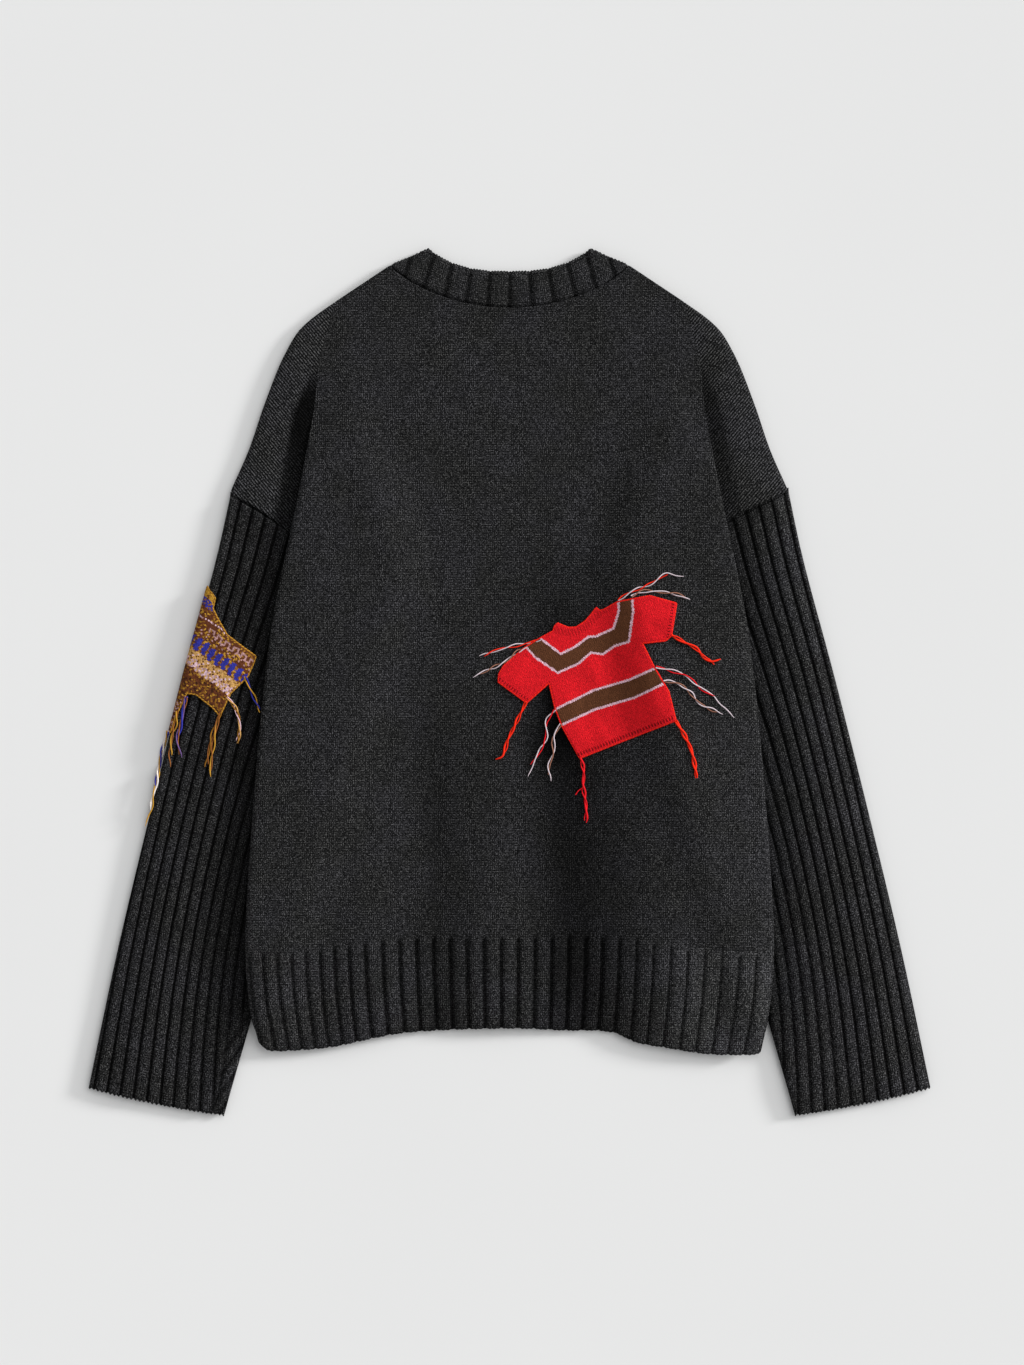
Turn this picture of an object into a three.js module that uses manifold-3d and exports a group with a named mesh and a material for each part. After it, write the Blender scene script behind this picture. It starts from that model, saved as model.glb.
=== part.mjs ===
// A darned wool sweater, laid flat with its back up and its sleeves down.
//
// Millimetres. +X to the wearer's right, +Y to the neck, +Z up from the floor. The origin is on
// the floor, in the middle of the garment's length and width. Each knitted piece is one closed solid:
//   back_panel, front_panel    plain knit, with the drop shoulders knitted in one with them
//   hem_band_back / _front     ribbed bands along the hem
//   sleeve_left / _right       ribbed tubes pressed flat; their inner edges lie under the body
//   collar                     a ribbed ring, its back half on its front half
//   red_patch, sleeve_patch    two miniature jumpers sewn on as darns, with loose yarn ends
//
// The body is two walls on one middle surface. That surface rises where the body lies over the
// sleeves, steps down in a valley beside each drop shoulder, and ripples gently near the hem.

import * as THREE from "three";
import Module from "manifold-3d";
import { mergeVertices } from "three/addons/utils/BufferGeometryUtils.js";

const wasm = await Module();
wasm.setup();

// ---- cloth ----
const WALL = 3; // felted double-ply knit
const SEAM = 0.3; // kept between sewn pieces
const LAYER_GAP = 0.8; // between two walls that lie on each other
const EDGE_WALL = 1.2; // what is left of a wall at a folded edge, where it rounds off
const RED_PATCH_WALL = 2;
const SLEEVE_PATCH_WALL = 1.5;
const YARN_RADIUS = 1.4; // a loose end of two strands

// ---- outline: how far each edge is from the centre line, as [y, half width] ----
const SHOULDER = [
  [351.5, 100], [336, 118], [320.5, 146.6], [300, 174], [279, 188], [237, 205.5], [195, 220], [162.5, 234.4],
];
const SLEEVE_OUTER = [
  [162.5, 235], [110, 246], [6, 273.5], [-120, 305], [-225, 330], [-341, 354.5],
];
const BODY_EDGE = [
  [320.5, 146.6], [275, 160], [237, 164], [195, 171], [150, 179.5], [100, 190], [52, 199.2],
  [-15, 207.5], [-100, 215], [-183, 220.5], [-225, 222], [-267, 219], [-313, 211],
];
const SLEEVE_INNER = [
  [320.5, 177], [101.2, 107.1], [-364.2, 240.5],
];
const HEM_BOTTOM = [
  [-222, -309], [-134, -303], [-84, -294.5], [0, -290], [68, -294.5], [118, -305.5], [168, -312], [222, -312.5],
];
const APEX_Y = 320.5; // where the valley line meets the shoulder
const SEAM_Y = 140.7; // where the body's edge crosses the armhole seam
const SEAM_OUTER_Y = 162.5; // where the armhole seam meets the outer edge of the arm
const PANEL_FOOT_Y = -227; // top of the hem band at the side edges
const HEM_FOOT_Y = -311; // its bottom there

// ---- neck ----
const NECK_HALF = 100; // to the outer corner of the collar
const NECK_Y = 351.5;
const BACK_DROP = 36;
const FRONT_DROP = 95;
const PEAK_HALF = 68.7;
const PEAK_Y = 364.6;
const BACK_TOP_Y = 345.5; // top edge of the collar at the centre back
const FRONT_TOP_Y = 288;

// ---- relief ----
const SLEEVE_HEIGHT = 7.6;
const BODY_LIFT = 8.4; // underside of the body where it lies on a sleeve
const LIFT_RAMP = 44; // from the sleeve's inner edge to where the body is down on the floor
const VALLEY_START_Y = 290;
const RIPPLE = 3.5;
const RIPPLE_ACROSS = [[-222, 0.35], [-126, 1], [-63, 0.05], [-18, 0.8], [62, 0], [142, 1], [222, 0.6]]; // share
const PATCH_ROOM = 2.4; // how far the left sleeve is lifted where the patch goes round it

const MIDDLE = WALL + LAYER_GAP / 2; // height of the middle surface where the body lies on the floor

const { clamp, lerp } = THREE.MathUtils;
const smooth = (t) => THREE.MathUtils.smoothstep(t, 0, 1);
const bell = (t) => Math.exp(-t * t);

/** A smooth curve through [t, value] points, as a function of t. */
function through(points) {
  const p = [...points].sort((a, b) => a[0] - b[0]);
  const chord = p.slice(1).map((q, i) => (q[1] - p[i][1]) / (q[0] - p[i][0]));
  const slope = p.map((q, i) => {
    if (i === 0) return chord[0];
    if (i === p.length - 1) return chord[i - 1];
    return (chord[i - 1] + chord[i]) / 2;
  });
  return (t) => {
    const at = clamp(t, p[0][0], p[p.length - 1][0]);
    let i = 0;
    while (i < p.length - 2 && at > p[i + 1][0]) i += 1;
    const span = p[i + 1][0] - p[i][0];
    const s = (at - p[i][0]) / span;
    const h = 3 * s * s - 2 * s * s * s;
    const tangents = slope[i] * (s - 1) * (s - 1) * s + slope[i + 1] * (s - 1) * s * s;
    return lerp(p[i][1], p[i + 1][1], h) + span * tangents;
  };
}

const shoulder = through(SHOULDER);
const sleeveOuter = through(SLEEVE_OUTER);
const bodyEdge = through(BODY_EDGE);
const hemBottom = through(HEM_BOTTOM);
const rippleAcross = through(RIPPLE_ACROSS);
const hemTop = (x) => -213 - 14 * smooth((Math.abs(x) - 70) / 130);

function sleeveInner(y) {
  const [top, underarm, cuff] = SLEEVE_INNER;
  const [a, b] = y > underarm[0] ? [underarm, top] : [cuff, underarm];
  return lerp(a[1], b[1], (y - a[0]) / (b[0] - a[0]));
}

/** Height of the body's middle surface. */
function bodyHeight(x, y) {
  const across = Math.abs(x);
  const past = (across - (sleeveInner(y) - 6 - LIFT_RAMP)) / LIFT_RAMP;
  const along = smooth((VALLEY_START_Y - y) / (VALLEY_START_Y - SEAM_Y)) * (1 - 0.6 * smooth((-285 - y) / 28));
  const step = lerp(14, 34, smooth((y - SEAM_Y) / 100));
  const beside = smooth((bodyEdge(y) - across) / step);
  const free = smooth((SEAM_Y - y) / 25); // below the armhole the body's edge is free, and stays up
  const lift = BODY_LIFT * along * smooth(past) * Math.max(beside, free);
  return MIDDLE + lift + RIPPLE * rippleAcross(x) * smooth((-30 - y) / 210);
}

/** A corner of a cloth: a point of its middle surface, and the way that its walls are offset. */
function corner(x, y, folded = false) {
  const e = 0.5;
  const dx = (bodyHeight(x + e, y) - bodyHeight(x - e, y)) / (2 * e);
  const dy = (bodyHeight(x, y + e) - bodyHeight(x, y - e)) / (2 * e);
  return {
    at: new THREE.Vector3(x, y, bodyHeight(x, y)),
    out: new THREE.Vector3(-dx, -dy, 1).normalize(),
    folded,
  };
}

/** The faces between rows of corners. A row may hold null, where the cloth has no corner. */
function facesBetween(rows) {
  const faces = [];
  for (let j = 0; j + 1 < rows.length; j += 1) {
    for (let i = 0; i + 1 < rows[j].length; i += 1) {
      const quad = [rows[j][i], rows[j][i + 1], rows[j + 1][i + 1], rows[j + 1][i]];
      if (quad.includes(null)) continue;
      faces.push([quad[0], quad[1], quad[2]], [quad[0], quad[2], quad[3]]);
    }
  }
  return faces.filter((f) => new Set(f).size === 3);
}

function geometryOf(triangles) {
  const flat = triangles.flatMap((t) => t.flatMap((p) => [p.x, p.y, p.z]));
  const geometry = new THREE.BufferGeometry();
  geometry.setAttribute("position", new THREE.Float32BufferAttribute(flat, 3));
  return mergeVertices(geometry, 1e-5);
}

/** A closed wall between two offsets from a cloth's middle surface, closed along its free edges. */
function wall(rows, low, high) {
  const faces = facesBetween(rows);
  const level = (c, offset) => {
    const outer = Math.abs(offset) > WALL / 2;
    const thin = c.folded && outer ? Math.sign(offset) * (LAYER_GAP / 2 + EDGE_WALL) : offset;
    return c.at.clone().addScaledVector(c.out, thin);
  };
  const triangles = [];
  const edges = new Map();
  const ids = new Map();
  const id = (c) => ids.get(c) ?? ids.set(c, ids.size).get(c);
  for (const [a, b, c] of faces) {
    triangles.push([level(a, high), level(b, high), level(c, high)]);
    triangles.push([level(a, low), level(c, low), level(b, low)]);
    for (const [p, q] of [[a, b], [b, c], [c, a]]) {
      const back = `${id(q)}-${id(p)}`;
      if (edges.has(back)) edges.delete(back);
      else edges.set(`${id(p)}-${id(q)}`, [p, q]);
    }
  }
  for (const [p, q] of edges.values()) {
    triangles.push([level(p, low), level(q, low), level(q, high)]);
    triangles.push([level(p, low), level(q, high), level(p, high)]);
  }
  return geometryOf(triangles);
}

/** A closed tube from rings of points. The ends stay open where the rings go round a hollow. */
function tube(rings, closed) {
  const triangles = [];
  const last = closed ? rings.length : rings.length - 1;
  for (let j = 0; j < last; j += 1) {
    const a = rings[j];
    const b = rings[(j + 1) % rings.length];
    for (let i = 0; i < a.length; i += 1) {
      const k = (i + 1) % a.length;
      triangles.push([a[i], a[k], b[k]], [a[i], b[k], b[i]]);
    }
  }
  return triangles;
}

// ---- body ----

const outward = [0, 4, 8, 14]; // columns beside an edge, as distances from it
const ARM_COLUMNS = [0, 0.45, 0.85, 1];
const CENTRE_COLUMNS = 4;

/** The half widths of a row's columns, from the edge to the centre. */
function columns(y) {
  const edge = bodyEdge(y);
  const high = Math.min(sleeveInner(y) - 6, edge - 20);
  const low = high - LIFT_RAMP;
  const centre = Array.from({ length: CENTRE_COLUMNS }, (_, i) => (low * (CENTRE_COLUMNS - i)) / CENTRE_COLUMNS);
  return [...outward.map((d) => edge - d), high, high - 0.6 * LIFT_RAMP, ...centre];
}

function rowAcross(y, height, foldedAt) {
  const half = columns(y);
  const xs = [...half.map((x) => -x), 0, ...half.reverse()];
  return xs.map((x, i) => corner(x, height(x), foldedAt(x, i === 0 || i === xs.length - 1)));
}

/** A panel's rows, from the hem band up. topAt says how high its top edge is. */
function panelRows(topAt) {
  const below = Array.from({ length: 8 }, (_, i) => lerp(PANEL_FOOT_Y, SEAM_Y - 25, i / 7));
  const above = Array.from({ length: 7 }, (_, i) => lerp(SEAM_Y, APEX_Y, i / 6));
  const ys = [...below, ...above];
  return ys.map((y) => {
    const v = (y - PANEL_FOOT_Y) / (APEX_Y - PANEL_FOOT_Y);
    const foot = (x) => (1 - v) * (hemTop(x) - PANEL_FOOT_Y);
    const head = (x) => v ** 6 * (topAt(x) - APEX_Y);
    const isTop = y === APEX_Y;
    const onFold = (x, end) => (isTop ? Math.abs(x) >= NECK_HALF : end && y < SEAM_Y);
    const body = rowAcross(y, (x) => y + foot(x) + head(x), onFold);
    const arm = (side) => {
      const start = side < 0 ? body[0] : body[body.length - 1];
      return ARM_COLUMNS.slice(1).map((s) => {
        if (y < SEAM_Y) return null;
        if (isTop) return start;
        const outerY = lerp(SEAM_OUTER_Y, APEX_Y, (y - SEAM_Y) / (APEX_Y - SEAM_Y));
        const x = lerp(Math.abs(start.at.x), shoulder(outerY), s);
        return corner(side * x, lerp(start.at.y, outerY, s), s === 1);
      });
    };
    return [...arm(-1).reverse(), ...body, ...arm(1)];
  });
}

/** A top edge: along the shoulders, and down by drop at the neck. */
function topEdge(drop, roundness) {
  return (x) => {
    const across = Math.abs(x);
    if (across >= NECK_HALF) return lerp(NECK_Y, APEX_Y, (across - NECK_HALF) / (bodyEdge(APEX_Y) - NECK_HALF));
    return NECK_Y - drop * (1 - (across / NECK_HALF) ** roundness) ** (1.6 / roundness);
  };
}

const backTop = topEdge(BACK_DROP, 2);
const frontTop = topEdge(FRONT_DROP, 2.4);

const HEM_ROWS = 3;

function hemRows() {
  return Array.from({ length: HEM_ROWS + 1 }, (_, j) => {
    const v = j / HEM_ROWS;
    const y = lerp(HEM_FOOT_Y, PANEL_FOOT_Y, v);
    return rowAcross(y, (x) => lerp(hemBottom(x), hemTop(x) - 2 * SEAM, v), (x, end) => end);
  });
}

const BACK = [LAYER_GAP / 2, LAYER_GAP / 2 + WALL];
const FRONT = [-LAYER_GAP / 2 - WALL, -LAYER_GAP / 2];

// ---- sleeves ----

const SLEEVE_STATIONS = 13;
const ACROSS = [0, 0.012, 0.035, 0.12, 0.22, 0.315, 0.34, 0.42, 0.54, 0.67, 0.82, 0.965, 0.988, 1];
const CUFF_OUTER_Y = -341;
const HEAD_GAP = 1; // between the sleeve and the panels at the armhole seam
const HEAD_DROP = 25; // the head of the sleeve passes under the body's edge

/** Middle of the flat tube at t down from the armhole and s across from the outer edge. */
function sleevePoint(side, t, s) {
  const outerY = lerp(SEAM_OUTER_Y - HEAD_GAP, CUFF_OUTER_Y, t);
  const innerY = lerp(SLEEVE_INNER[1][0] - HEAD_GAP, SLEEVE_INNER[2][0], t);
  const x = lerp(sleeveOuter(outerY), sleeveInner(innerY), s);
  const head = -(HEAD_DROP + 1) * smooth((s - 0.315) / 0.025) * (1 - t) ** 3;
  const hem = -8 * s * (1 - s) * t ** 3;
  const lift = side < 0 ? PATCH_ROOM * bell((outerY - 15) / 130) * smooth((0.47 - s) / 0.17) : 0;
  return new THREE.Vector3(side * x, lerp(outerY, innerY, s) + head + hem, SLEEVE_HEIGHT / 2 + lift);
}

/** One loop round the flat tube, inset from its outside and moved out by skin. */
function sleeveLoop(side, t, inset, skin = 0) {
  const half = SLEEVE_HEIGHT / 2 - inset + skin;
  const width = sleevePoint(side, t, 0).distanceTo(sleevePoint(side, t, 1));
  const reach = (inset - skin) / width;
  const top = ACROSS.map((s) => {
    const fromEdge = Math.min(s, 1 - s) * width;
    const round = Math.sqrt(1 - (1 - Math.min(fromEdge / 4, 1)) ** 2);
    const p = sleevePoint(side, t, lerp(reach, 1 - reach, s));
    return { p, z: half * Math.max(round, 0) };
  });
  const up = top.map(({ p, z }) => new THREE.Vector3(p.x, p.y, p.z + z));
  const down = top.slice(1, -1).reverse().map(({ p, z }) => new THREE.Vector3(p.x, p.y, p.z - z));
  return [...up, ...down];
}

/** The tube's wall: outside faces, inside faces, and a rim at each end. */
function sleeveSolid(side, inset, skin, from = 0, to = 1) {
  const ts = Array.from({ length: SLEEVE_STATIONS }, (_, i) => lerp(from, to, i / (SLEEVE_STATIONS - 1)));
  const outside = ts.map((t) => sleeveLoop(side, t, 0, skin[1]));
  const inside = ts.map((t) => sleeveLoop(side, t, inset, skin[0]));
  const rim = (o, i) => tube([o, i], false);
  const triangles = [
    ...tube(outside, false).map((t) => t.reverse()),
    ...tube(inside, false),
    ...rim(outside[0], inside[0]),
    ...rim(outside[outside.length - 1], inside[inside.length - 1]).map((t) => t.reverse()),
  ];
  return geometryOf(side > 0 ? triangles.map((t) => t.reverse()) : triangles);
}

// ---- collar ----

const COLLAR_STATIONS = 15; // along each half
const FOLD_STATIONS = 3; // round each shoulder fold

/** The ribbed ring: a band swept along the neck, turned over at the two shoulder folds. */
function collarSolid() {
  const half = NECK_HALF - MIDDLE;
  const peak = PEAK_HALF - MIDDLE;
  const edgeY = (x, low) => PEAK_Y - 0.4 - (PEAK_Y - low) * (1 - Math.abs(x / peak) ** 2.6);
  const band = (u, seamAt, low) => {
    const seamX = half * u;
    const topX = peak * u;
    const seam = new THREE.Vector3(seamX, seamAt(seamX * (NECK_HALF / half)) + SEAM, MIDDLE);
    return [seam, new THREE.Vector3(topX, edgeY(topX, low), MIDDLE)];
  };
  const section = ([seam, top], turn) => {
    // turn is the way the wall faces: 0 up, 1 outward, 2 down
    const angle = (turn * Math.PI) / 2;
    const out = new THREE.Vector3(Math.sign(seam.x) * Math.sin(angle), 0, Math.cos(angle));
    const at = (p, d) => p.clone().addScaledVector(out, d);
    const [near, far] = [LAYER_GAP / 2, LAYER_GAP / 2 + WALL];
    return [at(seam, near), at(top, near), at(top, far), at(seam, far)];
  };
  const us = Array.from({ length: COLLAR_STATIONS }, (_, i) => Math.sin((i / (COLLAR_STATIONS - 1) - 0.5) * Math.PI));
  const backHalf = us.map((u) => section(band(u, backTop, BACK_TOP_Y), 0));
  const frontHalf = us.map((u) => section(band(u, frontTop, FRONT_TOP_Y), 2)).reverse();
  const fold = (u) => Array.from({ length: FOLD_STATIONS }, (_, i) => {
    const turn = (2 * (i + 1)) / (FOLD_STATIONS + 1);
    return section(band(u, backTop, BACK_TOP_Y), u > 0 ? turn : 2 - turn);
  });
  const rings = [...backHalf, ...fold(1), ...frontHalf, ...fold(-1)];
  return geometryOf(tube(rings, true));
}

// ---- patches ----

function manifoldOf(geometry) {
  const bare = geometry.clone();
  bare.deleteAttribute("normal");
  bare.deleteAttribute("uv");
  const merged = mergeVertices(bare, 1e-5);
  const vertProperties = new Float32Array(merged.attributes.position.array);
  return new wasm.Manifold(new wasm.Mesh({
    numProp: 3, vertProperties, triVerts: new Uint32Array(merged.index.array),
  }));
}

/** The space over an outline, given as [x, y] points, between two heights. */
function prism(outline, bottom, top) {
  const shape = new THREE.Shape(outline.map(([x, y]) => new THREE.Vector2(x, y)));
  const geometry = new THREE.ExtrudeGeometry(shape, { depth: top - bottom, bevelEnabled: false });
  geometry.translate(0, 0, bottom);
  return manifoldOf(geometry);
}

/** The stretch of a skin that lies inside a space. */
function cutOut(skin, space) {
  const mesh = manifoldOf(skin).intersect(space).getMesh();
  const geometry = new THREE.BufferGeometry();
  const points = [];
  for (let i = 0; i < mesh.vertProperties.length; i += mesh.numProp) {
    points.push(...mesh.vertProperties.slice(i, i + 3));
  }
  geometry.setAttribute("position", new THREE.Float32BufferAttribute(points, 3));
  geometry.setIndex([...mesh.triVerts]);
  return geometry;
}

/** The miniature jumper, flat, in its own frame: its middle is 0, 0 and its neck is up. */
const RED_JUMPER = [
  [-42, -54], [45, -53], [48, -28], [44, -4], [42, 18], [61, 13], [67, 15], [81, 39], [62, 53], [35, 58],
  [17, 59], [9, 52], [-6, 49], [-15, 51], [-22, 56], [-36, 53], [-52, 50], [-74, 42], [-83, 31], [-67, 6],
  [-43, 15], [-46, -7], [-46, -23],
];
const RED_PLACE = { x: 78.5, y: 1.3, turn: THREE.MathUtils.degToRad(21) };

function redPatch(rows) {
  const skin = wall(rows, BACK[1] + SEAM, BACK[1] + SEAM + RED_PATCH_WALL);
  const [c, s] = [Math.cos(RED_PLACE.turn), Math.sin(RED_PLACE.turn)];
  const outline = RED_JUMPER.map(([x, y]) => [RED_PLACE.x + c * x - s * y, RED_PLACE.y + s * x + c * y]);
  return cutOut(skin, prism(outline, -20, 40));
}

/** The other jumper is folded round the sleeve's outer edge: what shows, and what is under it. */
const FOLDED_JUMPER = [
  [-275, 81], [-254, 81], [-247, 71], [-249, 62], [-245, 54], [-237, 40], [-224, 30], [-213, 22], [-215, 16],
  [-220, 5], [-234, -9], [-243, -28], [-249, -21], [-263, -10], [-271, -9], [-277, -22], [-283, -38], [-310, -38],
];
const FOLDED_UNDER = [
  [-310, 81], [-262, 81], [-250, 62], [-240, 40], [-238, 10], [-246, -20], [-262, -38], [-310, -38],
];

function sleevePatch() {
  const skin = sleeveSolid(-1, 0, [SEAM, SEAM + SLEEVE_PATCH_WALL], 0.1, 0.5);
  const middle = SLEEVE_HEIGHT / 2;
  return cutOut(skin, prism(FOLDED_JUMPER, middle, 40).add(prism(FOLDED_UNDER, -20, middle + SEAM)));
}

// ---- loose yarn ends, each a list of [x, y] points lying on what is under it ----

const RED_TAILS = [
  [[91, 71], [100, 76], [116, 84], [131, 91], [146, 88]],
  [[105, 75], [121, 76], [136, 74], [152, 68]],
  [[24, 41], [12, 36], [-3, 32], [-25, 22]],
  [[7, 29], [-2, 23], [-13, 15], [-31, 5]],
  [[14, -20], [8, -32], [-1, -50], [-5, -62], [-12, -64]],
  [[35, -24], [31, -35], [29, -50], [20, -67], [16, -80]],
  [[39, -39], [37, -49], [34, -62], [34, -83]],
  [[60, -69], [62, -82], [65, -100], [64, -118]],
  [[141, -36], [143, -44], [151, -52], [153, -67], [156, -80]],
  [[141, 40], [150, 34], [163, 26], [169, 19], [176, 18]],
  [[127, 13], [138, 9], [155, 2], [166, -9], [189, -33]],
  [[132, 1], [142, -2], [153, -13], [166, -24], [177, -31]],
];
const SLEEVE_TAILS = [
  [[-291, -44], [-297, -66], [-301, -89], [-307, -110], [-312, -126]],
  [[-269, -14], [-274, -28], [-276, -45], [-274, -63]],
  [[-281, -43], [-284, -56], [-285, -71]],
  [[-244, -34], [-250, -52], [-255, -72]],
  [[-240, -34], [-244.5, -53], [-249, -78]],
  [[-233, -15], [-228, -24], [-226, -36], [-228, -53]],
  [[-217, 2], [-216, -10], [-210, -24]],
];
const TAIL_STEPS = 8;

function dropOnto(mesh, x, y) {
  const ray = new THREE.Raycaster(new THREE.Vector3(x, y, 100), new THREE.Vector3(0, 0, -1));
  const hits = ray.intersectObject(mesh);
  return hits.length ? hits[0].point.z : 0;
}

function tailSolid(points, under) {
  const flat = new THREE.CatmullRomCurve3(points.map(([x, y]) => new THREE.Vector3(x, y, 0)));
  const lying = flat.getSpacedPoints(TAIL_STEPS).map((p) => {
    const near = [[-2, 0], [2, 0], [0, -2], [0, 2], [0, 0]].map(([dx, dy]) => dropOnto(under, p.x + dx, p.y + dy));
    return new THREE.Vector3(p.x, p.y, Math.max(...near) + YARN_RADIUS + SEAM);
  });
  const section = new THREE.Shape();
  section.absarc(0, 0, YARN_RADIUS, 0, 2 * Math.PI);
  const extrudePath = new THREE.CatmullRomCurve3(lying);
  const tail = new THREE.ExtrudeGeometry(section, {
    steps: TAIL_STEPS, curveSegments: 3, bevelEnabled: false, extrudePath,
  });
  tail.deleteAttribute("normal");
  tail.deleteAttribute("uv");
  return mergeVertices(tail, 1e-5);
}

// ---- the garment ----

const charcoal = { color: 0x2b2c30, roughness: 0.95, metalness: 0 };
const red = { color: 0xc81a24, roughness: 0.9, metalness: 0 };
const ochre = { color: 0x9a6a28, roughness: 0.9, metalness: 0 };

const group = new THREE.Group();

function add(name, geometry, look) {
  const mesh = new THREE.Mesh(geometry, new THREE.MeshStandardMaterial(look));
  mesh.name = name;
  group.add(mesh);
  return mesh;
}

const backRows = panelRows(backTop);
const back = add("back_panel", wall(backRows, ...BACK), charcoal);
add("front_panel", wall(panelRows(frontTop), ...FRONT), charcoal);
add("hem_band_back", wall(hemRows(), ...BACK), charcoal);
add("hem_band_front", wall(hemRows(), ...FRONT), charcoal);
const sleeveLeft = add("sleeve_left", sleeveSolid(-1, WALL, [0, 0]), charcoal);
add("sleeve_right", sleeveSolid(1, WALL, [0, 0]), charcoal);
add("collar", collarSolid(), charcoal);
add("red_patch", redPatch(backRows), red);
add("sleeve_patch", sleevePatch(), ochre);
RED_TAILS.forEach((points, i) => add(`red_tail_${i + 1}`, tailSolid(points, back), red));
SLEEVE_TAILS.forEach((points, i) => add(`sleeve_tail_${i + 1}`, tailSolid(points, sleeveLeft), ochre));

export default group;
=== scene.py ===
"""Looks of the darned wool sweater, laid flat with its back up.

Shapes are worked out in millimetres, in the CAD model's frame, and turned into metres when a mesh is
made. The outlines and the body's relief repeat those of the CAD source; the ribs, folds, edges,
stitches and yarns are added here.
"""

import math

import bpy
import numpy as np
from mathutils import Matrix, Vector
from mathutils.geometry import delaunay_2d_cdt


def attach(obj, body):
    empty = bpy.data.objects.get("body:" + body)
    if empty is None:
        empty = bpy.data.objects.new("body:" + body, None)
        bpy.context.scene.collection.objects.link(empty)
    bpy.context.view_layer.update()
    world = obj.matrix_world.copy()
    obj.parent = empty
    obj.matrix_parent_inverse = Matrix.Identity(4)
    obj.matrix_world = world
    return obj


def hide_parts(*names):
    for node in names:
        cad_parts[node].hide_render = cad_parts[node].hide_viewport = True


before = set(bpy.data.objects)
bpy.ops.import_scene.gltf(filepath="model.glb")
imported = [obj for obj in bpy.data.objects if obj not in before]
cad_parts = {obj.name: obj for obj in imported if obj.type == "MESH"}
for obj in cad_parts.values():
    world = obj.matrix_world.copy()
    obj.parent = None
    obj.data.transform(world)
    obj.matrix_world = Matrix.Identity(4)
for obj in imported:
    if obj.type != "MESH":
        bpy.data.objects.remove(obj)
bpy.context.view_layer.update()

MM = 0.001

# ---- driving sizes, in millimetres

WALL = 3.0
LAYER_GAP = 0.8
MIDDLE = WALL + LAYER_GAP / 2  # height of the body's middle surface where it lies on the floor
HALF_STACK = LAYER_GAP / 2 + WALL  # from that surface to the outside of either panel
EDGE_ROLL = 4.5  # how far in a folded edge starts to round off

# Outlines of the right half as (y, x), from the neck down; the hem's lower edge as (x, y).
SHOULDER = [(351.5, 100), (336, 118), (320.5, 146.6), (300, 174), (279, 188), (237, 205.5), (195, 220),
            (162.5, 234.4)]
SLEEVE_OUTER = [(162.5, 235), (110, 246), (6, 273.5), (-120, 305), (-225, 330), (-341, 354.5)]
BODY_EDGE = [(320.5, 146.6), (275, 160), (237, 164), (195, 171), (150, 179.5), (100, 190), (52, 199.2),
             (-15, 207.5), (-100, 215), (-183, 220.5), (-225, 222), (-267, 219), (-313, 211)]
SLEEVE_INNER = [(320.5, 177), (101.2, 107.1), (-364.2, 240.5)]
HEM_BOTTOM = [(-222, -309), (-190, -309.5), (-149, -306), (-123, -300.5), (-97, -295.5), (-60, -292.5),
              (0, -290.5), (45, -292.5), (90, -295), (104, -301.5), (134, -307), (168, -312), (222, -312.5)]
APEX_Y = 320.5
SEAM_Y = 140.7
SEAM_OUTER_Y = 162.5
PANEL_FOOT_Y = -227.0
HEM_FOOT_Y = -311.0
HEM_HEIGHT = PANEL_FOOT_Y - HEM_FOOT_Y
CUFF_OUTER_Y = -341.0

NECK_HALF = 100.0
NECK_Y = 351.5
BACK_DROP = 36.0
FRONT_DROP = 95.0
PEAK_HALF = 68.7
PEAK_Y = 364.6
BACK_TOP_Y = 345.5
FRONT_TOP_Y = 288.0
COLLAR_HEIGHT = 31.0

SLEEVE_HEIGHT = 7.6  # of the pressed tube
SLEEVE_LENGTH = 516.0
BODY_LIFT = 8.4  # how far the body rises over the sleeves that run under its edges
LIFT_RAMP = 44.0
VALLEY_START_Y = 290.0
FLAT_Y, FLAT_RAMP = 172.0, 70.0  # above this height the valleys beside the arms run out
RIPPLE = 3.5
RIPPLE_ACROSS = [(-222, 0.35), (-126, 1), (-63, 0.05), (-18, 0.8), (62, 0), (142, 1), (222, 0.6)]
PATCH_ROOM = 2.4  # how far the left sleeve rises where its patch goes round the edge

WALE = 1.75  # width of a stitch
COURSE = 2.07  # height of a stitch
HEM_RIB = 14.2  # its pitch
HEM_RIB_DEPTH = 2.3
SLEEVE_RIB = 9.6  # the pitch half way down, where it is narrowest
SLEEVE_RIB_SPREAD = 10.2  # how fast it grows towards both ends
SLEEVE_FIRST_RIB = {-1: 9.1, 1: 15.6}  # from each sleeve's outer fold to its first whole groove
MEAN_RIB = 10.6  # the pitch that the sleeves' stitches are drawn for
SLEEVE_RIB_DEPTH = 2.2
COLLAR_RIBS = 11.6  # in each half of the ring
COLLAR_RIB_DEPTH = 1.6
COLLAR_ROLL = 4.0  # how far in its edges start to round off
COLLAR_TURN = 0.78  # share of each half of the seam whose ribs reach the crown; the rest turn at the fold

# ---- curves


def lerp(a, b, t):
    return a + (b - a) * t


def smooth(t):
    t = np.clip(t, 0, 1)
    return t * t * (3 - 2 * t)


def bell(t):
    return np.exp(-np.square(t))


def rounded(turn):
    """Half thickness of cloth near a fold, as a share. turn goes from 0, away from the fold, to 1."""
    return np.sqrt(np.clip(1 - turn**2, 0, 1))


def lengths(points):
    """How far along a line of points each of them lies."""
    return np.concatenate([[0], np.cumsum(np.linalg.norm(np.diff(points, axis=0), axis=1))])


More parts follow.
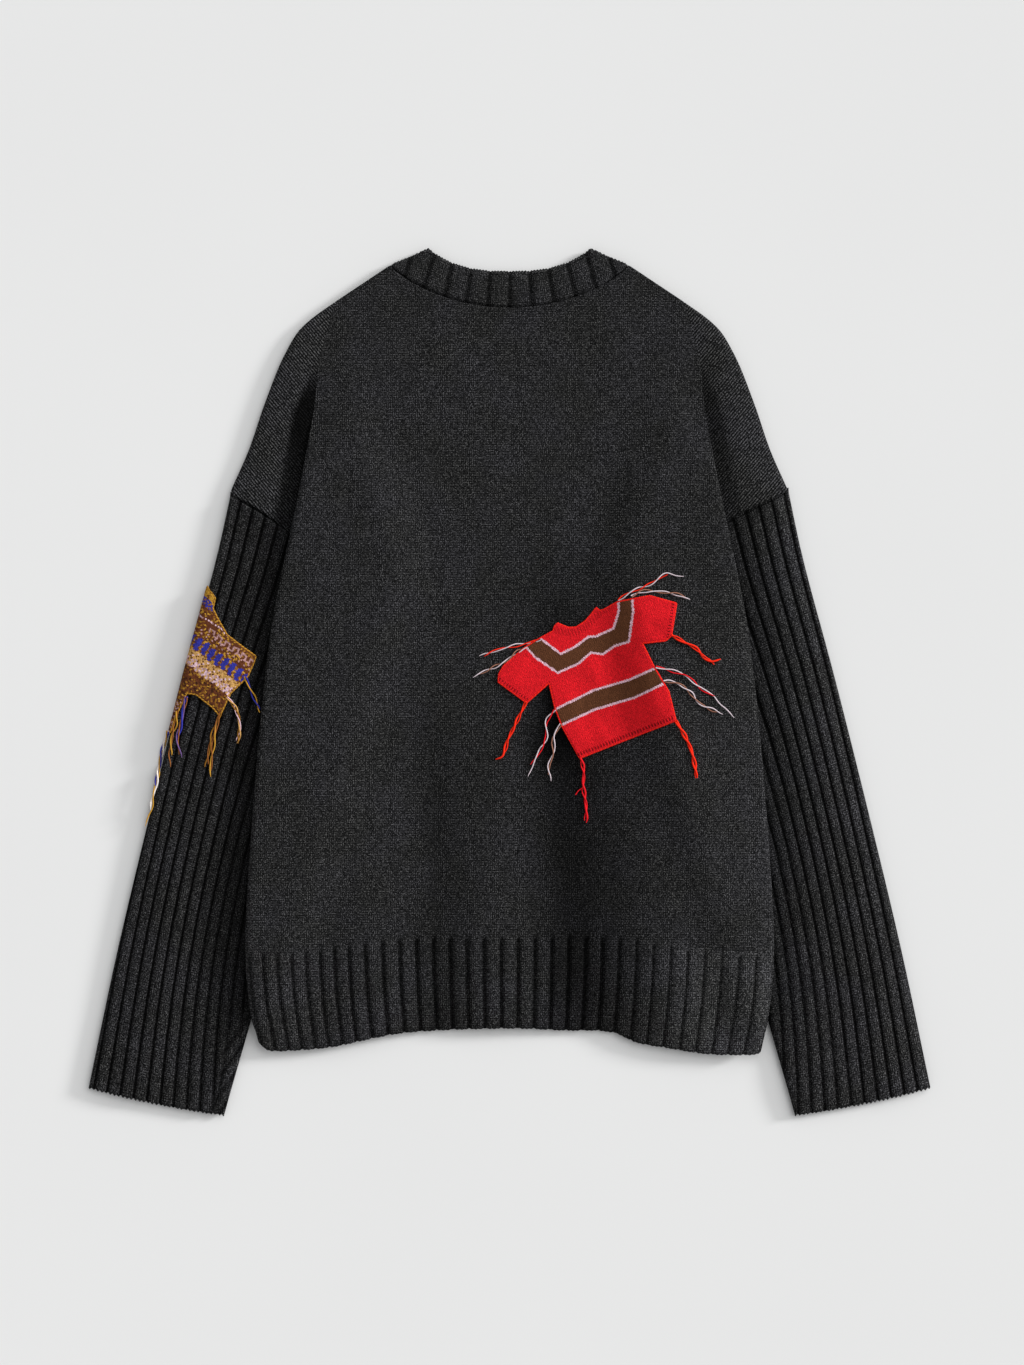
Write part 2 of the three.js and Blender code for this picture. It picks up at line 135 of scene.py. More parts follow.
def through(points):
    """A smooth curve through (t, value) points, as a function of t."""
    p = np.array(sorted(map(tuple, points)), float)
    chord = np.diff(p[:, 1]) / np.diff(p[:, 0])
    slope = np.concatenate([chord[:1], (chord[:-1] + chord[1:]) / 2, chord[-1:]])

    def value(t):
        at = np.clip(t, p[0, 0], p[-1, 0])
        i = np.clip(np.searchsorted(p[:, 0], at) - 1, 0, len(p) - 2)
        span = p[i + 1, 0] - p[i, 0]
        s = (at - p[i, 0]) / span
        tangents = slope[i] * (s - 1) ** 2 * s + slope[i + 1] * (s - 1) * s * s
        return lerp(p[i, 1], p[i + 1, 1], s * s * (3 - 2 * s)) + span * tangents

    return value


shoulder = through(SHOULDER)
sleeve_outer = through(SLEEVE_OUTER)
body_edge = through(BODY_EDGE)
hem_bottom = through(HEM_BOTTOM)
ripple_across = through(RIPPLE_ACROSS)


def hem_top(x):
    return -213 - 14 * smooth((np.abs(x) - 70) / 130)


def sleeve_inner(y):
    (top_y, top), (arm_y, arm), (cuff_y, cuff) = SLEEVE_INNER
    above = lerp(arm, top, (y - arm_y) / (top_y - arm_y))
    below = lerp(cuff, arm, (y - cuff_y) / (arm_y - cuff_y))
    return np.where(y > arm_y, above, below)


def top_edge(x, drop, roundness):
    across = np.abs(x)
    down = (1 - np.clip(across / NECK_HALF, 0, 1) ** roundness) ** (1.6 / roundness)
    along = (across - NECK_HALF) / (body_edge(APEX_Y) - NECK_HALF)
    return np.where(across >= NECK_HALF, lerp(NECK_Y, APEX_Y, along), NECK_Y - drop * down)


def back_top(x):
    return top_edge(x, BACK_DROP, 2.0)


def front_top(x):
    return top_edge(x, FRONT_DROP, 2.4)


# ---- relief of the body


def crease(x, y, start, end, width, height):
    """A soft ridge, or a trough where height is negative, along a line that fades at both ends."""
    ax, ay = start
    bx, by = end
    length = math.hypot(bx - ax, by - ay)
    along = ((x - ax) * (bx - ax) + (y - ay) * (by - ay)) / length**2
    off = ((x - ax) * (by - ay) - (y - ay) * (bx - ax)) / length
    fade = smooth(along / 0.3) * smooth((1 - along) / 0.25)
    return height * bell(off / width) * fade


def lift_over_sleeve(x, y):
    past = (np.abs(x) - (sleeve_inner(y) - 6 - LIFT_RAMP)) / LIFT_RAMP
    along = smooth((VALLEY_START_Y - y) / (VALLEY_START_Y - SEAM_Y)) * (1 - 0.6 * smooth((-285 - y) / 28))
    return BODY_LIFT * along * smooth(past)


def ripples(x, y):
    return RIPPLE * ripple_across(x) * smooth((-30 - y) / 210)


def stepped_at(y):
    return smooth((y - FLAT_Y) / FLAT_RAMP)


def middle_height(x, y, stepped):
    """The body's middle surface. Where stepped is 1 it goes down into the valleys beside the arms."""
    step = lerp(14, 34, smooth((y - SEAM_Y) / 100))
    beside = smooth((body_edge(y) - np.abs(x)) / step)
    free = smooth((SEAM_Y - y) / 25)
    lift = lift_over_sleeve(x, y)
    return MIDDLE + lift * lerp(1, np.maximum(beside, free), stepped) + ripples(x, y)


BACK_FOLDS = [  # start, end, width, height
    ((120, 120), (150, -350), 30, 3.0),
    ((-10, 60), (-18, -350), 24, 1.6),
    ((62, 60), (60, -350), 20, -1.0),
    ((-130, 20), (-122, -350), 26, 1.8),
    ((-62, -20), (-60, -350), 18, -0.8),
    ((-40, 330), (-70, 120), 36, 0.8),
    ((60, 300), (20, 120), 40, -0.7),
    ((-120, 200), (-60, 20), 30, 0.8),
]
BACK_CROOKS = [  # start, end, width, and how much darker the painted shade in the crook is; below 0, painted light makes it lighter
    ((38, 150), (62, -380), 29, 0.66),
    ((86, 60), (102, -380), 24, 0.26),
    ((-60, 30), (-60, -380), 19, 0.30),
    ((64, 10), (20, -75), 24, 0.30),
    ((165, 120), (185, -330), 60, -0.14),
    ((0, 120), (0, -180), 40, 0.06),
]


def back_folds(x, y):
    return sum(crease(x, y, *fold) for fold in BACK_FOLDS)


def back_shade(x, y):
    """Wool in the crook of a fold gets less light than its own relief alone would take away."""
    beside = np.abs(x) - body_edge(y)
    # painted light along the body's right edge, and painted shade just under the collar
    rim = np.where(x > 0, 0.16 * bell((beside + 7) / 12) * smooth((150 - y) / 60), 0)
    under_collar = 0.08 * bell((y - back_top(x) + 3) / 7)
    return (1 - sum(crease(x, y, *crook) for crook in BACK_CROOKS)) * (1 + rim) * (1 - under_collar)


# ---- meshes


def quads_of(rows, cols, close=False):
    """The faces of a grid of points that is stored row by row. close joins the last column to the first."""
    j, i = np.meshgrid(np.arange(rows - 1), np.arange(cols if close else cols - 1), indexing="ij")
    k = (i + 1) % cols
    return np.stack([j * cols + i, j * cols + k, (j + 1) * cols + k, (j + 1) * cols + i], -1).reshape(-1, 4)


def rim_of(rows, cols):
    """The corner numbers along a grid's boundary, once round."""
    grid = np.arange(rows * cols).reshape(rows, cols)
    return np.concatenate([grid[0, :-1], grid[:-1, -1], grid[-1, :0:-1], grid[:0:-1, 0]])


class Cloth:
    """Points in millimetres and their faces, gathered from one or more closed parts.

    knit is each point's place in the knitting, in millimetres across and along its wales, and where it has
    a third number, how much more clearly its wales show. shade is painted shade and painted light multiplied
    into the colour: it darkens the bottoms of ribs and folds and lightens what is turned to the light. Each
    face's colour, for cloth that isn't charcoal, is its yarn's own, with painted light and shade on the red
    jumper."""

    def __init__(self):
        self.points, self.faces, self.knit, self.shade, self.face_colour = [], [], [], [], []
        self.count = 0

    def add(self, points, faces, knit, shade=1.0, face_colour=None):
        points = np.asarray(points, float).reshape(-1, 3)
        self.faces += [[int(i) + self.count for i in face] for face in faces]
        self.points.append(points)
        knit = np.broadcast_to(knit, (len(points), np.shape(knit)[-1]))
        self.knit.append(np.pad(knit, ((0, 0), (0, 3 - knit.shape[1]))))
        self.shade.append(np.broadcast_to(shade, len(points)))
        if face_colour is not None:
            self.face_colour.append(np.broadcast_to(face_colour, (len(faces), 3)))
        self.count += len(points)
        return self

    def shell(self, plan, outside, inside, face, knit, shade):
        """A closed cloth from a grid of plan points and the heights of its two sides. face is 1 where the
        outside is the upper one, and -1 where it is underneath."""
        rows, cols = outside.shape
        count = rows * cols
        top, bottom = (np.concatenate([plan, z[..., None]], -1) for z in (outside, inside)[::face])
        rim = rim_of(rows, cols)
        after = np.roll(rim, -1)
        sides = np.stack([rim, rim + count, after + count, after], -1)
        faces = quads_of(rows, cols)
        faces = np.concatenate([faces, faces[:, ::-1] + count, sides])
        points = np.concatenate([top.reshape(-1, 3), bottom.reshape(-1, 3)])
        knit = knit.reshape(-1, knit.shape[-1])
        return self.add(points, faces, np.tile(knit, (2, 1)), np.tile(shade.ravel(), 2))

    def made(self, name, material, sharp=50):
        mesh = bpy.data.meshes.new(name)
        mesh.from_pydata((np.concatenate(self.points) * MM).tolist(), [], self.faces)
        mesh.shade_smooth()
        mesh.set_sharp_from_angle(angle=math.radians(sharp))
        place = mesh.attributes.new("knit", "FLOAT_VECTOR", "POINT")
        place.data.foreach_set("vector", np.concatenate(self.knit).astype(np.float32).ravel())
        shade = mesh.attributes.new("shade", "FLOAT", "POINT")
        shade.data.foreach_set("value", np.concatenate(self.shade).astype(np.float32))
        if self.face_colour:
            face_colour = mesh.attributes.new("face_colour", "FLOAT_COLOR", "FACE")
            rgba = np.ones((len(self.faces), 4), np.float32)
            rgba[:, :3] = np.concatenate(self.face_colour)
            face_colour.data.foreach_set("color", rgba.ravel())
        obj = bpy.data.objects.new(name, mesh)
        bpy.context.scene.collection.objects.link(obj)
        mesh.materials.append(material)
        return obj


def stand_for(obj, node):
    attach(obj, "root")
    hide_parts(node)
    return obj


# ---- materials


class Shader:
    """A material's nodes, with short ways to add and join them."""

    def __init__(self, name, roughness):
        self.material = bpy.data.materials.new(name)
        self.material.use_nodes = True
        self.tree = self.material.node_tree
        self.bsdf = self.tree.nodes["Principled BSDF"]
        self.bsdf.inputs["Roughness"].default_value = roughness
        self.bsdf.inputs["Specular IOR Level"].default_value = 0.05

    def node(self, kind, inputs=(), **settings):
        node = self.tree.nodes.new(kind)
        for key, value in settings.items():
            setattr(node, key, value)
        for key, value in dict(inputs).items():
            self.join(value, node.inputs[key])
        return node

    def join(self, value, socket):
        if isinstance(value, bpy.types.NodeSocket):
            self.tree.links.new(value, socket)
        else:
            socket.default_value = value

    def math(self, operation, *values):
        node = self.node("ShaderNodeMath", operation=operation)
        for value, socket in zip(values, node.inputs):
            self.join(value, socket)
        return node.outputs[0]

    def attribute(self, name):
        return self.node("ShaderNodeAttribute", attribute_name=name)

    def noise(self, scale, detail, roughness=0.5):
        place = self.node("ShaderNodeTexCoord").outputs["Object"]
        inputs = {"Scale": scale, "Detail": detail, "Roughness": roughness, "Vector": place}
        return self.node("ShaderNodeTexNoise", inputs).outputs["Fac"]

    def ramp(self, value, stops):
        node = self.node("ShaderNodeValToRGB", {"Fac": value})
        ramp = node.color_ramp
        while len(ramp.elements) < len(stops):
            ramp.elements.new(0.5)
        for element, (position, colour) in zip(ramp.elements, stops):
            element.position = position
            element.color = (*colour, 1)
        return node.outputs["Color"]

    def times(self, a, b):
        """Two colours multiplied."""
        node = self.node("ShaderNodeMix", {"A": a, "B": b}, data_type="RGBA", blend_type="MULTIPLY")
        node.inputs["Factor"].default_value = 1.0
        return node.outputs["Result"]

    def grey(self, light):
        inputs = {"Red": light, "Green": light, "Blue": light}
        return self.node("ShaderNodeCombineColor", inputs).outputs["Color"]

    def bump(self, height, distance, strength):
        node = self.node("ShaderNodeBump", {"Height": height, "Distance": distance, "Strength": strength})
        self.tree.links.new(node.outputs["Normal"], self.bsdf.inputs["Normal"])

    def colour(self, socket):
        self.tree.links.new(socket, self.bsdf.inputs["Base Color"])


def knitting(shader, wale, course):
    """Light and dark of felted knitting, about 0 and mostly within 1: its stitches show through unevenly."""
    split = shader.node("ShaderNodeSeparateXYZ", {"Vector": shader.attribute("knit").outputs["Vector"]})
    across, along, clearer = split.outputs
    tone = shader.math("MULTIPLY_ADD", shader.noise(1300, detail=2, roughness=0.6), 2.2, -1.1)
    for place, pitch, patch in ((across, wale, 600), (along, course, 640)):
        wave = shader.math("SINE", shader.math("MULTIPLY", place, 2 * math.pi / pitch))
        swing = shader.math("MULTIPLY_ADD", shader.noise(patch, detail=1), 2.1, -0.95)
        if place == across:
            swing = shader.math("ADD", swing, clearer)
        tone = shader.math("ADD", tone, shader.math("MULTIPLY", wave, swing))
    return tone


def charcoal(name, shade):
    """Charcoal wool, spun from fibres of several greys."""
    shader = Shader(name, roughness=0.95)
    tone = knitting(shader, WALE, COURSE)
    cloud = shader.noise(26, detail=2)
    tones = shader.ramp(shader.math("ADD", tone, shader.math("MULTIPLY_ADD", cloud, 0.2, 0.27)), [
        (0.0, (0.0022, 0.0023, 0.0024)),
        (0.35, (0.0120, 0.0120, 0.0124)),
        (0.65, (0.0320, 0.0320, 0.0328)),
        (1.0, (0.1080, 0.1075, 0.1090)),
    ])
    cast = shader.ramp(cloud, [(0.36, (1.0, 1.0, 0.965)), (0.64, (0.985, 0.98, 1.03))])
    light = shader.math("MULTIPLY", shader.attribute("shade").outputs["Fac"], shade)
    shader.colour(shader.times(shader.times(tones, cast), shader.grey(light)))
    shader.bump(tone, 0.0005, 0.6)
    return shader.material


def dyed_knit(name, wale, course, depth):
    """Fine knit in the mesh's own colours. depth is how strongly its stitches show."""
    shader = Shader(name, roughness=0.85)
    tone = knitting(shader, wale, course)
    light = shader.math("MULTIPLY_ADD", tone, depth, 0.88)
    shader.colour(shader.times(shader.attribute("face_colour").outputs["Color"], shader.grey(light)))
    shader.bump(tone, 0.0005, 0.7)
    return shader.material


def yarn(name):
    """Loose yarn in the mesh's own colours, with fine fibres along it."""
    shader = Shader(name, roughness=0.8)
    fibre = shader.noise(1600, detail=3)
    light = shader.math("MULTIPLY_ADD", fibre, 0.9, 0.55)
    shader.colour(shader.times(shader.attribute("face_colour").outputs["Color"], shader.grey(light)))
    shader.bump(fibre, 0.0004, 0.6)
    return shader.material


PLAIN = charcoal("charcoal_plain_knit", 1.0)
RIBBED = charcoal("charcoal_rib_knit", 0.96)

# ---- body panels

ROLL_STEPS = 8
BODY_ROW = 3.0  # between rows and columns of the body's mesh
OVERHANG = 12.0  # how far the arm's cloth runs on under the body's edge
SEAM_ROLL = 1.6  # how far in an edge at a seam starts to round off
ARM_HEIGHT = 150.0  # along the arm's outer fold, about
ARM_WALES = math.radians(50)  # how far the wales rise towards the arm
ARM_STRETCH = 1.25  # the arm's stitches are pulled wider than the body's
ARM_CLEARER = 0.3  # how much more clearly its wales show
SEAM_DIP = 0.85  # share of a full rounding that a seam has
PANEL_SEAM_DIP = 0.65
# by side, -1 for the left and 1 for the right
SEAM_DROP = {-1: 5.0, 1: 1.5}  # how far the armhole seams slipped down as the garment was laid out
SEAM_SAG = {-1: 13, 1: 3}  # how much lower the seam's inner end hangs
ARM_SHADE = {-1: 1.02, 1: 0.95}
CROOK_WIDTH = {-1: 16, 1: 13}  # of the shade beside the body's edge
CROOK_DEPTH = {-1: 0.92, 1: 0.58}


def roll_steps(reach):
    """Distances from a folded edge, from 0 to reach, and how far round the fold each one is, from 1 to 0."""
    away = reach * (1 - np.cos(np.linspace(0, np.pi / 2, ROLL_STEPS + 1)))
    return away, 1 - away / reach


def both_halves(level, half_columns):
    """The columns between the body's two folded edges: their x at each level, and how far round a fold."""
    away, turn = roll_steps(EDGE_ROLL)
    edge = body_edge(level)
    inner = np.linspace(1, 0, half_columns + 1)[None, 1:]
    right = np.concatenate([edge - away[None], (edge - EDGE_ROLL) * inner], 1)
    half_fold = np.concatenate([turn, np.zeros(half_columns)])
    x = np.concatenate([-right, right[:, -2::-1]], 1)
    return x, np.concatenate([half_fold, half_fold[-2::-1]])[None]


def panel_grid(top_at):
    """A body panel in plan: (x, y, how far round a fold, share of the valley's step beside the arm)."""
    seam_away, seam_turn = roll_steps(SEAM_ROLL)
    height = APEX_Y - PANEL_FOOT_Y
    rows = int(height / BODY_ROW)
    level = np.concatenate([PANEL_FOOT_Y + seam_away[:-1],
                            np.linspace(PANEL_FOOT_Y + SEAM_ROLL, APEX_Y - SEAM_ROLL, rows),
                            APEX_Y - seam_away[:-1][::-1]])[:, None]
    end_fold = np.concatenate([seam_turn[:-1], np.zeros(rows), seam_turn[:-1][::-1]])[:, None]
    end_fold = PANEL_SEAM_DIP * end_fold
    x, side_fold = both_halves(level, half_columns=74)
    v = (level - PANEL_FOOT_Y) / height
    y = level + (1 - v) * (hem_top(x) - PANEL_FOOT_Y) + v**6 * (top_at(x) - APEX_Y)  # bends to both seams
    step = stepped_at(level)
    fold = np.maximum(side_fold * (1 - step), end_fold)
    return x, y, fold, step + 0 * x


def back_surface(x, y):
    return middle_height(x, y, stepped_at(y)) + HALF_STACK + back_folds(x, y)


def under_edge(side, x, y):
    """How much light reaches the arm's cloth in the crook beside the body's edge."""
    beside = np.clip(x - body_edge(y), 0, None)
    wide = CROOK_WIDTH[side] * smooth((280 - y) / 60)
    deep = CROOK_DEPTH[side] * smooth((284 - y) / 45) * (1 - 0.25 * smooth((215 - y) / 60))
    return 1 - deep * (1 - smooth((beside - wide + 3) / 8))


def arm(cloth, side, face):
    """The cloth of a drop shoulder, from under the body's edge to the fold along the arm."""
    rows = 64
    cols = 34
    seam_away, seam_turn = roll_steps(SEAM_ROLL / ARM_HEIGHT)
    v = np.concatenate([seam_away[:-1], np.linspace(SEAM_ROLL / ARM_HEIGHT, 0.995, rows)])[:, None]
    end_fold = SEAM_DIP * np.concatenate([seam_turn[:-1], np.zeros(rows)])[:, None]
    y_in = lerp(SEAM_Y - SEAM_DROP[side], APEX_Y, v)
    y_out = lerp(SEAM_OUTER_Y - SEAM_DROP[side], APEX_Y, v)
    edge = body_edge(y_in)
    x_out = shoulder(y_out)
    away, turn = roll_steps(EDGE_ROLL)
    width = np.maximum(x_out - edge, 1)
    roll = np.minimum(EDGE_ROLL, 0.4 * width)
    s = np.linspace(0, 1, cols)[None]
    inner = edge - OVERHANG
    x = np.concatenate([lerp(inner, x_out - roll, s), x_out - roll * (away / EDGE_ROLL)[::-1][None, 1:]], 1)
    fold = np.concatenate([np.zeros((1, cols)), turn[::-1][None, 1:]], 1) + 0 * x
    fold = np.maximum(fold, end_fold)
    share = (x - edge) / width
    y = lerp(y_in, y_out, share) - SEAM_SAG[side] * np.clip(1 - share, 0, 1) ** 2 * (1 - v) ** 2
    puff = 2.6 * np.sin(np.pi * np.clip(share, 0, 1)) ** 1.2 * smooth(width / 45) * smooth((1 - v) / 0.4)
    sink = 0.15 + 0.5 * smooth(-share * width / OVERHANG)  # where it goes in under the body
    reach = HALF_STACK * rounded(fold) + (puff - sink if face > 0 else 0)
    outside = MIDDLE + face * reach
    inside = MIDDLE + face * np.minimum(LAYER_GAP / 2, reach)
    plan = np.stack([side * x, y], -1)
    knit = np.stack([(y * math.cos(ARM_WALES) - x * math.sin(ARM_WALES)) / ARM_STRETCH,
                     (x * math.cos(ARM_WALES) + y * math.sin(ARM_WALES)) / ARM_STRETCH,
                     np.full(x.shape, ARM_CLEARER)], -1)
    shade = ARM_SHADE[side] * under_edge(side, x, y) if face > 0 else 1 + 0 * x
    plan, outside, inside, knit, shade = (a[:, ::side] for a in (plan, outside, inside, knit, shade))
    cloth.shell(plan, outside, inside, face, knit, shade)


def panel(face):
    """face is 1 for the back, which is uppermost, and -1 for the front, whose outside is underneath."""
    x, y, fold, step = panel_grid(back_top if face > 0 else front_top)
    if face < 0:
        x, y, fold, step = (a[::2] for a in (x, y, fold, step))
    middle = middle_height(x, y, step)
    outside = middle + face * HALF_STACK * rounded(fold)
    if face > 0:
        outside = outside + back_folds(x, y)
    inside = middle + face * np.minimum(LAYER_GAP / 2, np.abs(outside - middle))
    shade = back_shade(x, y) if face > 0 else 1 + 0 * x
    plan = np.stack([x, y], -1)
    cloth = Cloth()
    cloth.shell(plan, outside, inside, face, plan, shade)
    for side in (-1, 1):
        arm(cloth, side, face)
    return cloth.made("back_cloth" if face > 0 else "front_cloth", PLAIN)


# ---- ribs


DOMED = 0.25  # how much lower a ridge is at its sides than at its middle


def rib(phase, ridge, soft):
    """Height of a rib, 0 in the groove to 1 on the ridge. The ridge takes up that share of the pitch."""
    from_ridge = np.abs((phase % 1) - 0.5)
    flat = 1 - smooth((from_ridge - (ridge / 2 - soft)) / (2 * soft))
    return flat * (1 - DOMED * (from_ridge / (ridge / 2)) ** 2 * flat)


HEM_HALF = 221.0  # half its width
CORNER_LEFT, CORNER_RIGHT = 11, 2.5  # how far the hem's lower corners are rounded off upwards


def hem_phase(x):
    """Ribs counted from the middle of the hem. They are closer together towards its left end."""
    return x / HEM_RIB - 0.007 * np.clip(-130 - x, 0, None) ** 1.15 + 0.5


def hem_band(face):
    """A ribbed band, for the back where face is 1 and for the front where it is -1."""
    rows = 34
    away, turn = roll_steps(EDGE_ROLL)
    v = np.concatenate([away[:-1] / HEM_HEIGHT, np.linspace(EDGE_ROLL / HEM_HEIGHT, 1, rows)])[:, None]
    fold = np.concatenate([turn[:-1], np.zeros(rows)])[:, None]
    level = lerp(HEM_FOOT_Y, PANEL_FOOT_Y, v)
    x, side_fold = both_halves(level, half_columns=230)
    across = np.abs(x) / body_edge(level)
    corner = np.clip((across - 0.93) / 0.07, 0, 1)
    corner = np.where(x > 0, CORNER_RIGHT, CORNER_LEFT) * (1 - rounded(corner)) * smooth((0.35 - v) / 0.35)
    lit = smooth((np.where(x > 0, 1.4 * x, -x) - 110) / 60)  # towards both ends the ribs are pulled flatter, and their painted groove shade is lighter
    phase = hem_phase(across * np.sign(x) * HEM_HALF)
    ridges = lerp(rib(phase, ridge=0.76, soft=0.09), rib(phase, ridge=0.86, soft=0.07), lit * (x > 0))
    bumps = -0.7 * ridges * smooth((0.12 - v) / 0.12)
    bumps = bumps + 0.28 * np.sin(x * 2 * np.pi / 3.9) * smooth((0.05 - v) / 0.05)  # the bound-off edge
    sewn = 1.6 * (ridges - 0.5) * smooth((v - 0.93) / 0.07)
    y = lerp(hem_bottom(x), hem_top(x) + 1.0, v) + corner + bumps + sewn
    start = smooth((1 - v) / 0.06)
    relief = HEM_RIB_DEPTH * lerp(0.8, ridges, start)
    pressed = 1.2 if face > 0 else HEM_RIB_DEPTH  # the floor presses the front's ribs in
    reach = HALF_STACK + relief - pressed
    reach = reach * rounded(fold) * rounded(side_fold) * lerp(1, 0.86, smooth((v - 0.97) / 0.03))
    middle = middle_height(x, y, 0.0)
    folds = back_folds(x, y) if face > 0 else 0
    outside = middle + face * reach + folds
    inside = middle + face * np.minimum(LAYER_GAP / 2, np.abs(reach)) + np.minimum(folds, 0)
    # painted shade in the ribs' grooves and painted light on their ridges, fading out at the seam
    shade = lerp(0.95, lerp(lerp(0.32, 0.56, lit), lerp(1.12, 1.18, lit), ridges), start)
    # painted light, lighter towards the hem's right end
    shade = shade * (1 + 0.41 * smooth((x - 110) / 60))
    shade = shade * (back_shade(x, y) if face > 0 else 1)
    plan = np.stack([x, y], -1)
    cloth = Cloth()
    cloth.shell(plan, outside, inside, face, plan, shade)
    return cloth.made("hem_band_back_rib" if face > 0 else "hem_band_front_rib", RIBBED)


# ---- sleeves

HEAD_DROP = 26.0  # how much lower the sleeve's head lies under the body
CUFF_SAG = 8.0  # how far the cuff's edge bows downwards, times 4
TUBE_HALF = SLEEVE_HEIGHT / 2
TUBE_ROLL = 5.0
MEAN_WIDTH = 125.0  # of the pressed sleeve
SHOWN_COLUMN = 0.75  # between the columns of the mesh, on the part that shows beside the body
HIDDEN_COLUMN = 1.6  # and on the part under it
END_ROLL = 2.4 / 500  # the rounding of a sleeve's ends, as a share of its length
CUFF_FOLD_X, CUFF_FOLD_Y = 235.0, -282.0  # on the left, a crease runs from here down to the cuff
CUFF_FOLD_SLOPE = 0.18  # how far it moves outwards for each millimetre down
TURNED_RIB = 9.0  # the pitch of the ribs in the corner turned over along that crease
TURNED_ACROSS, TURNED_ALONG = 0.805, 0.593  # and the way across them
# by side, -1 for the left and 1 for the right
HEAD_SAG = {-1: 10, 1: 2}
RIDGE_LIGHT = {-1: 1.02, 1: 1.32}
BESIDE_BODY = {-1: (0.55, 33), 1: (0.42, 30)}  # how much darker the painted shadow of the body makes the sleeve beside its edge, and how far out


def sleeve_middle(side, y, s):
    """Height of the sleeve's middle at y. s is the share of its width from the outer fold."""
    lift = PATCH_ROOM * bell((y - 15) / 130) * smooth((0.47 - s) / 0.17) if side < 0 else 0
    return TUBE_HALF + lift


def sleeve_point(side, t, s):
    """A point of the sleeve's middle. t is the share of its length from the armhole, s of its width."""
    outer_y = lerp(SEAM_OUTER_Y - 0.6, CUFF_OUTER_Y, t)
    inner_y = lerp(SLEEVE_INNER[1][0], SLEEVE_INNER[2][0], t)
    x = lerp(sleeve_outer(outer_y), sleeve_inner(inner_y), s)
    y = lerp(outer_y, inner_y, s) - CUFF_SAG * s * (1 - s) * t**3
    y = y - HEAD_DROP * smooth((s - 0.42) / 0.1) * (1 - t) ** 3
    y = y - (HEAD_SAG[side] * np.clip(s / 0.46, 0, 1) ** 2 + SEAM_DROP[side]) * (1 - t) ** 6
    return np.stack(np.broadcast_arrays(side * x, y, sleeve_middle(side, outer_y, s)), -1)


def tube_bulge(from_edge):
    """Height of the pressed tube's outside above its middle, rounded at the folded edges."""
    return TUBE_HALF * rounded(1 - np.clip(from_edge / TUBE_ROLL, 0, 1))


def sleeve_puff(from_edge, s):
    return 1.6 * smooth(from_edge / 30) * smooth((0.5 - s) / 0.2)


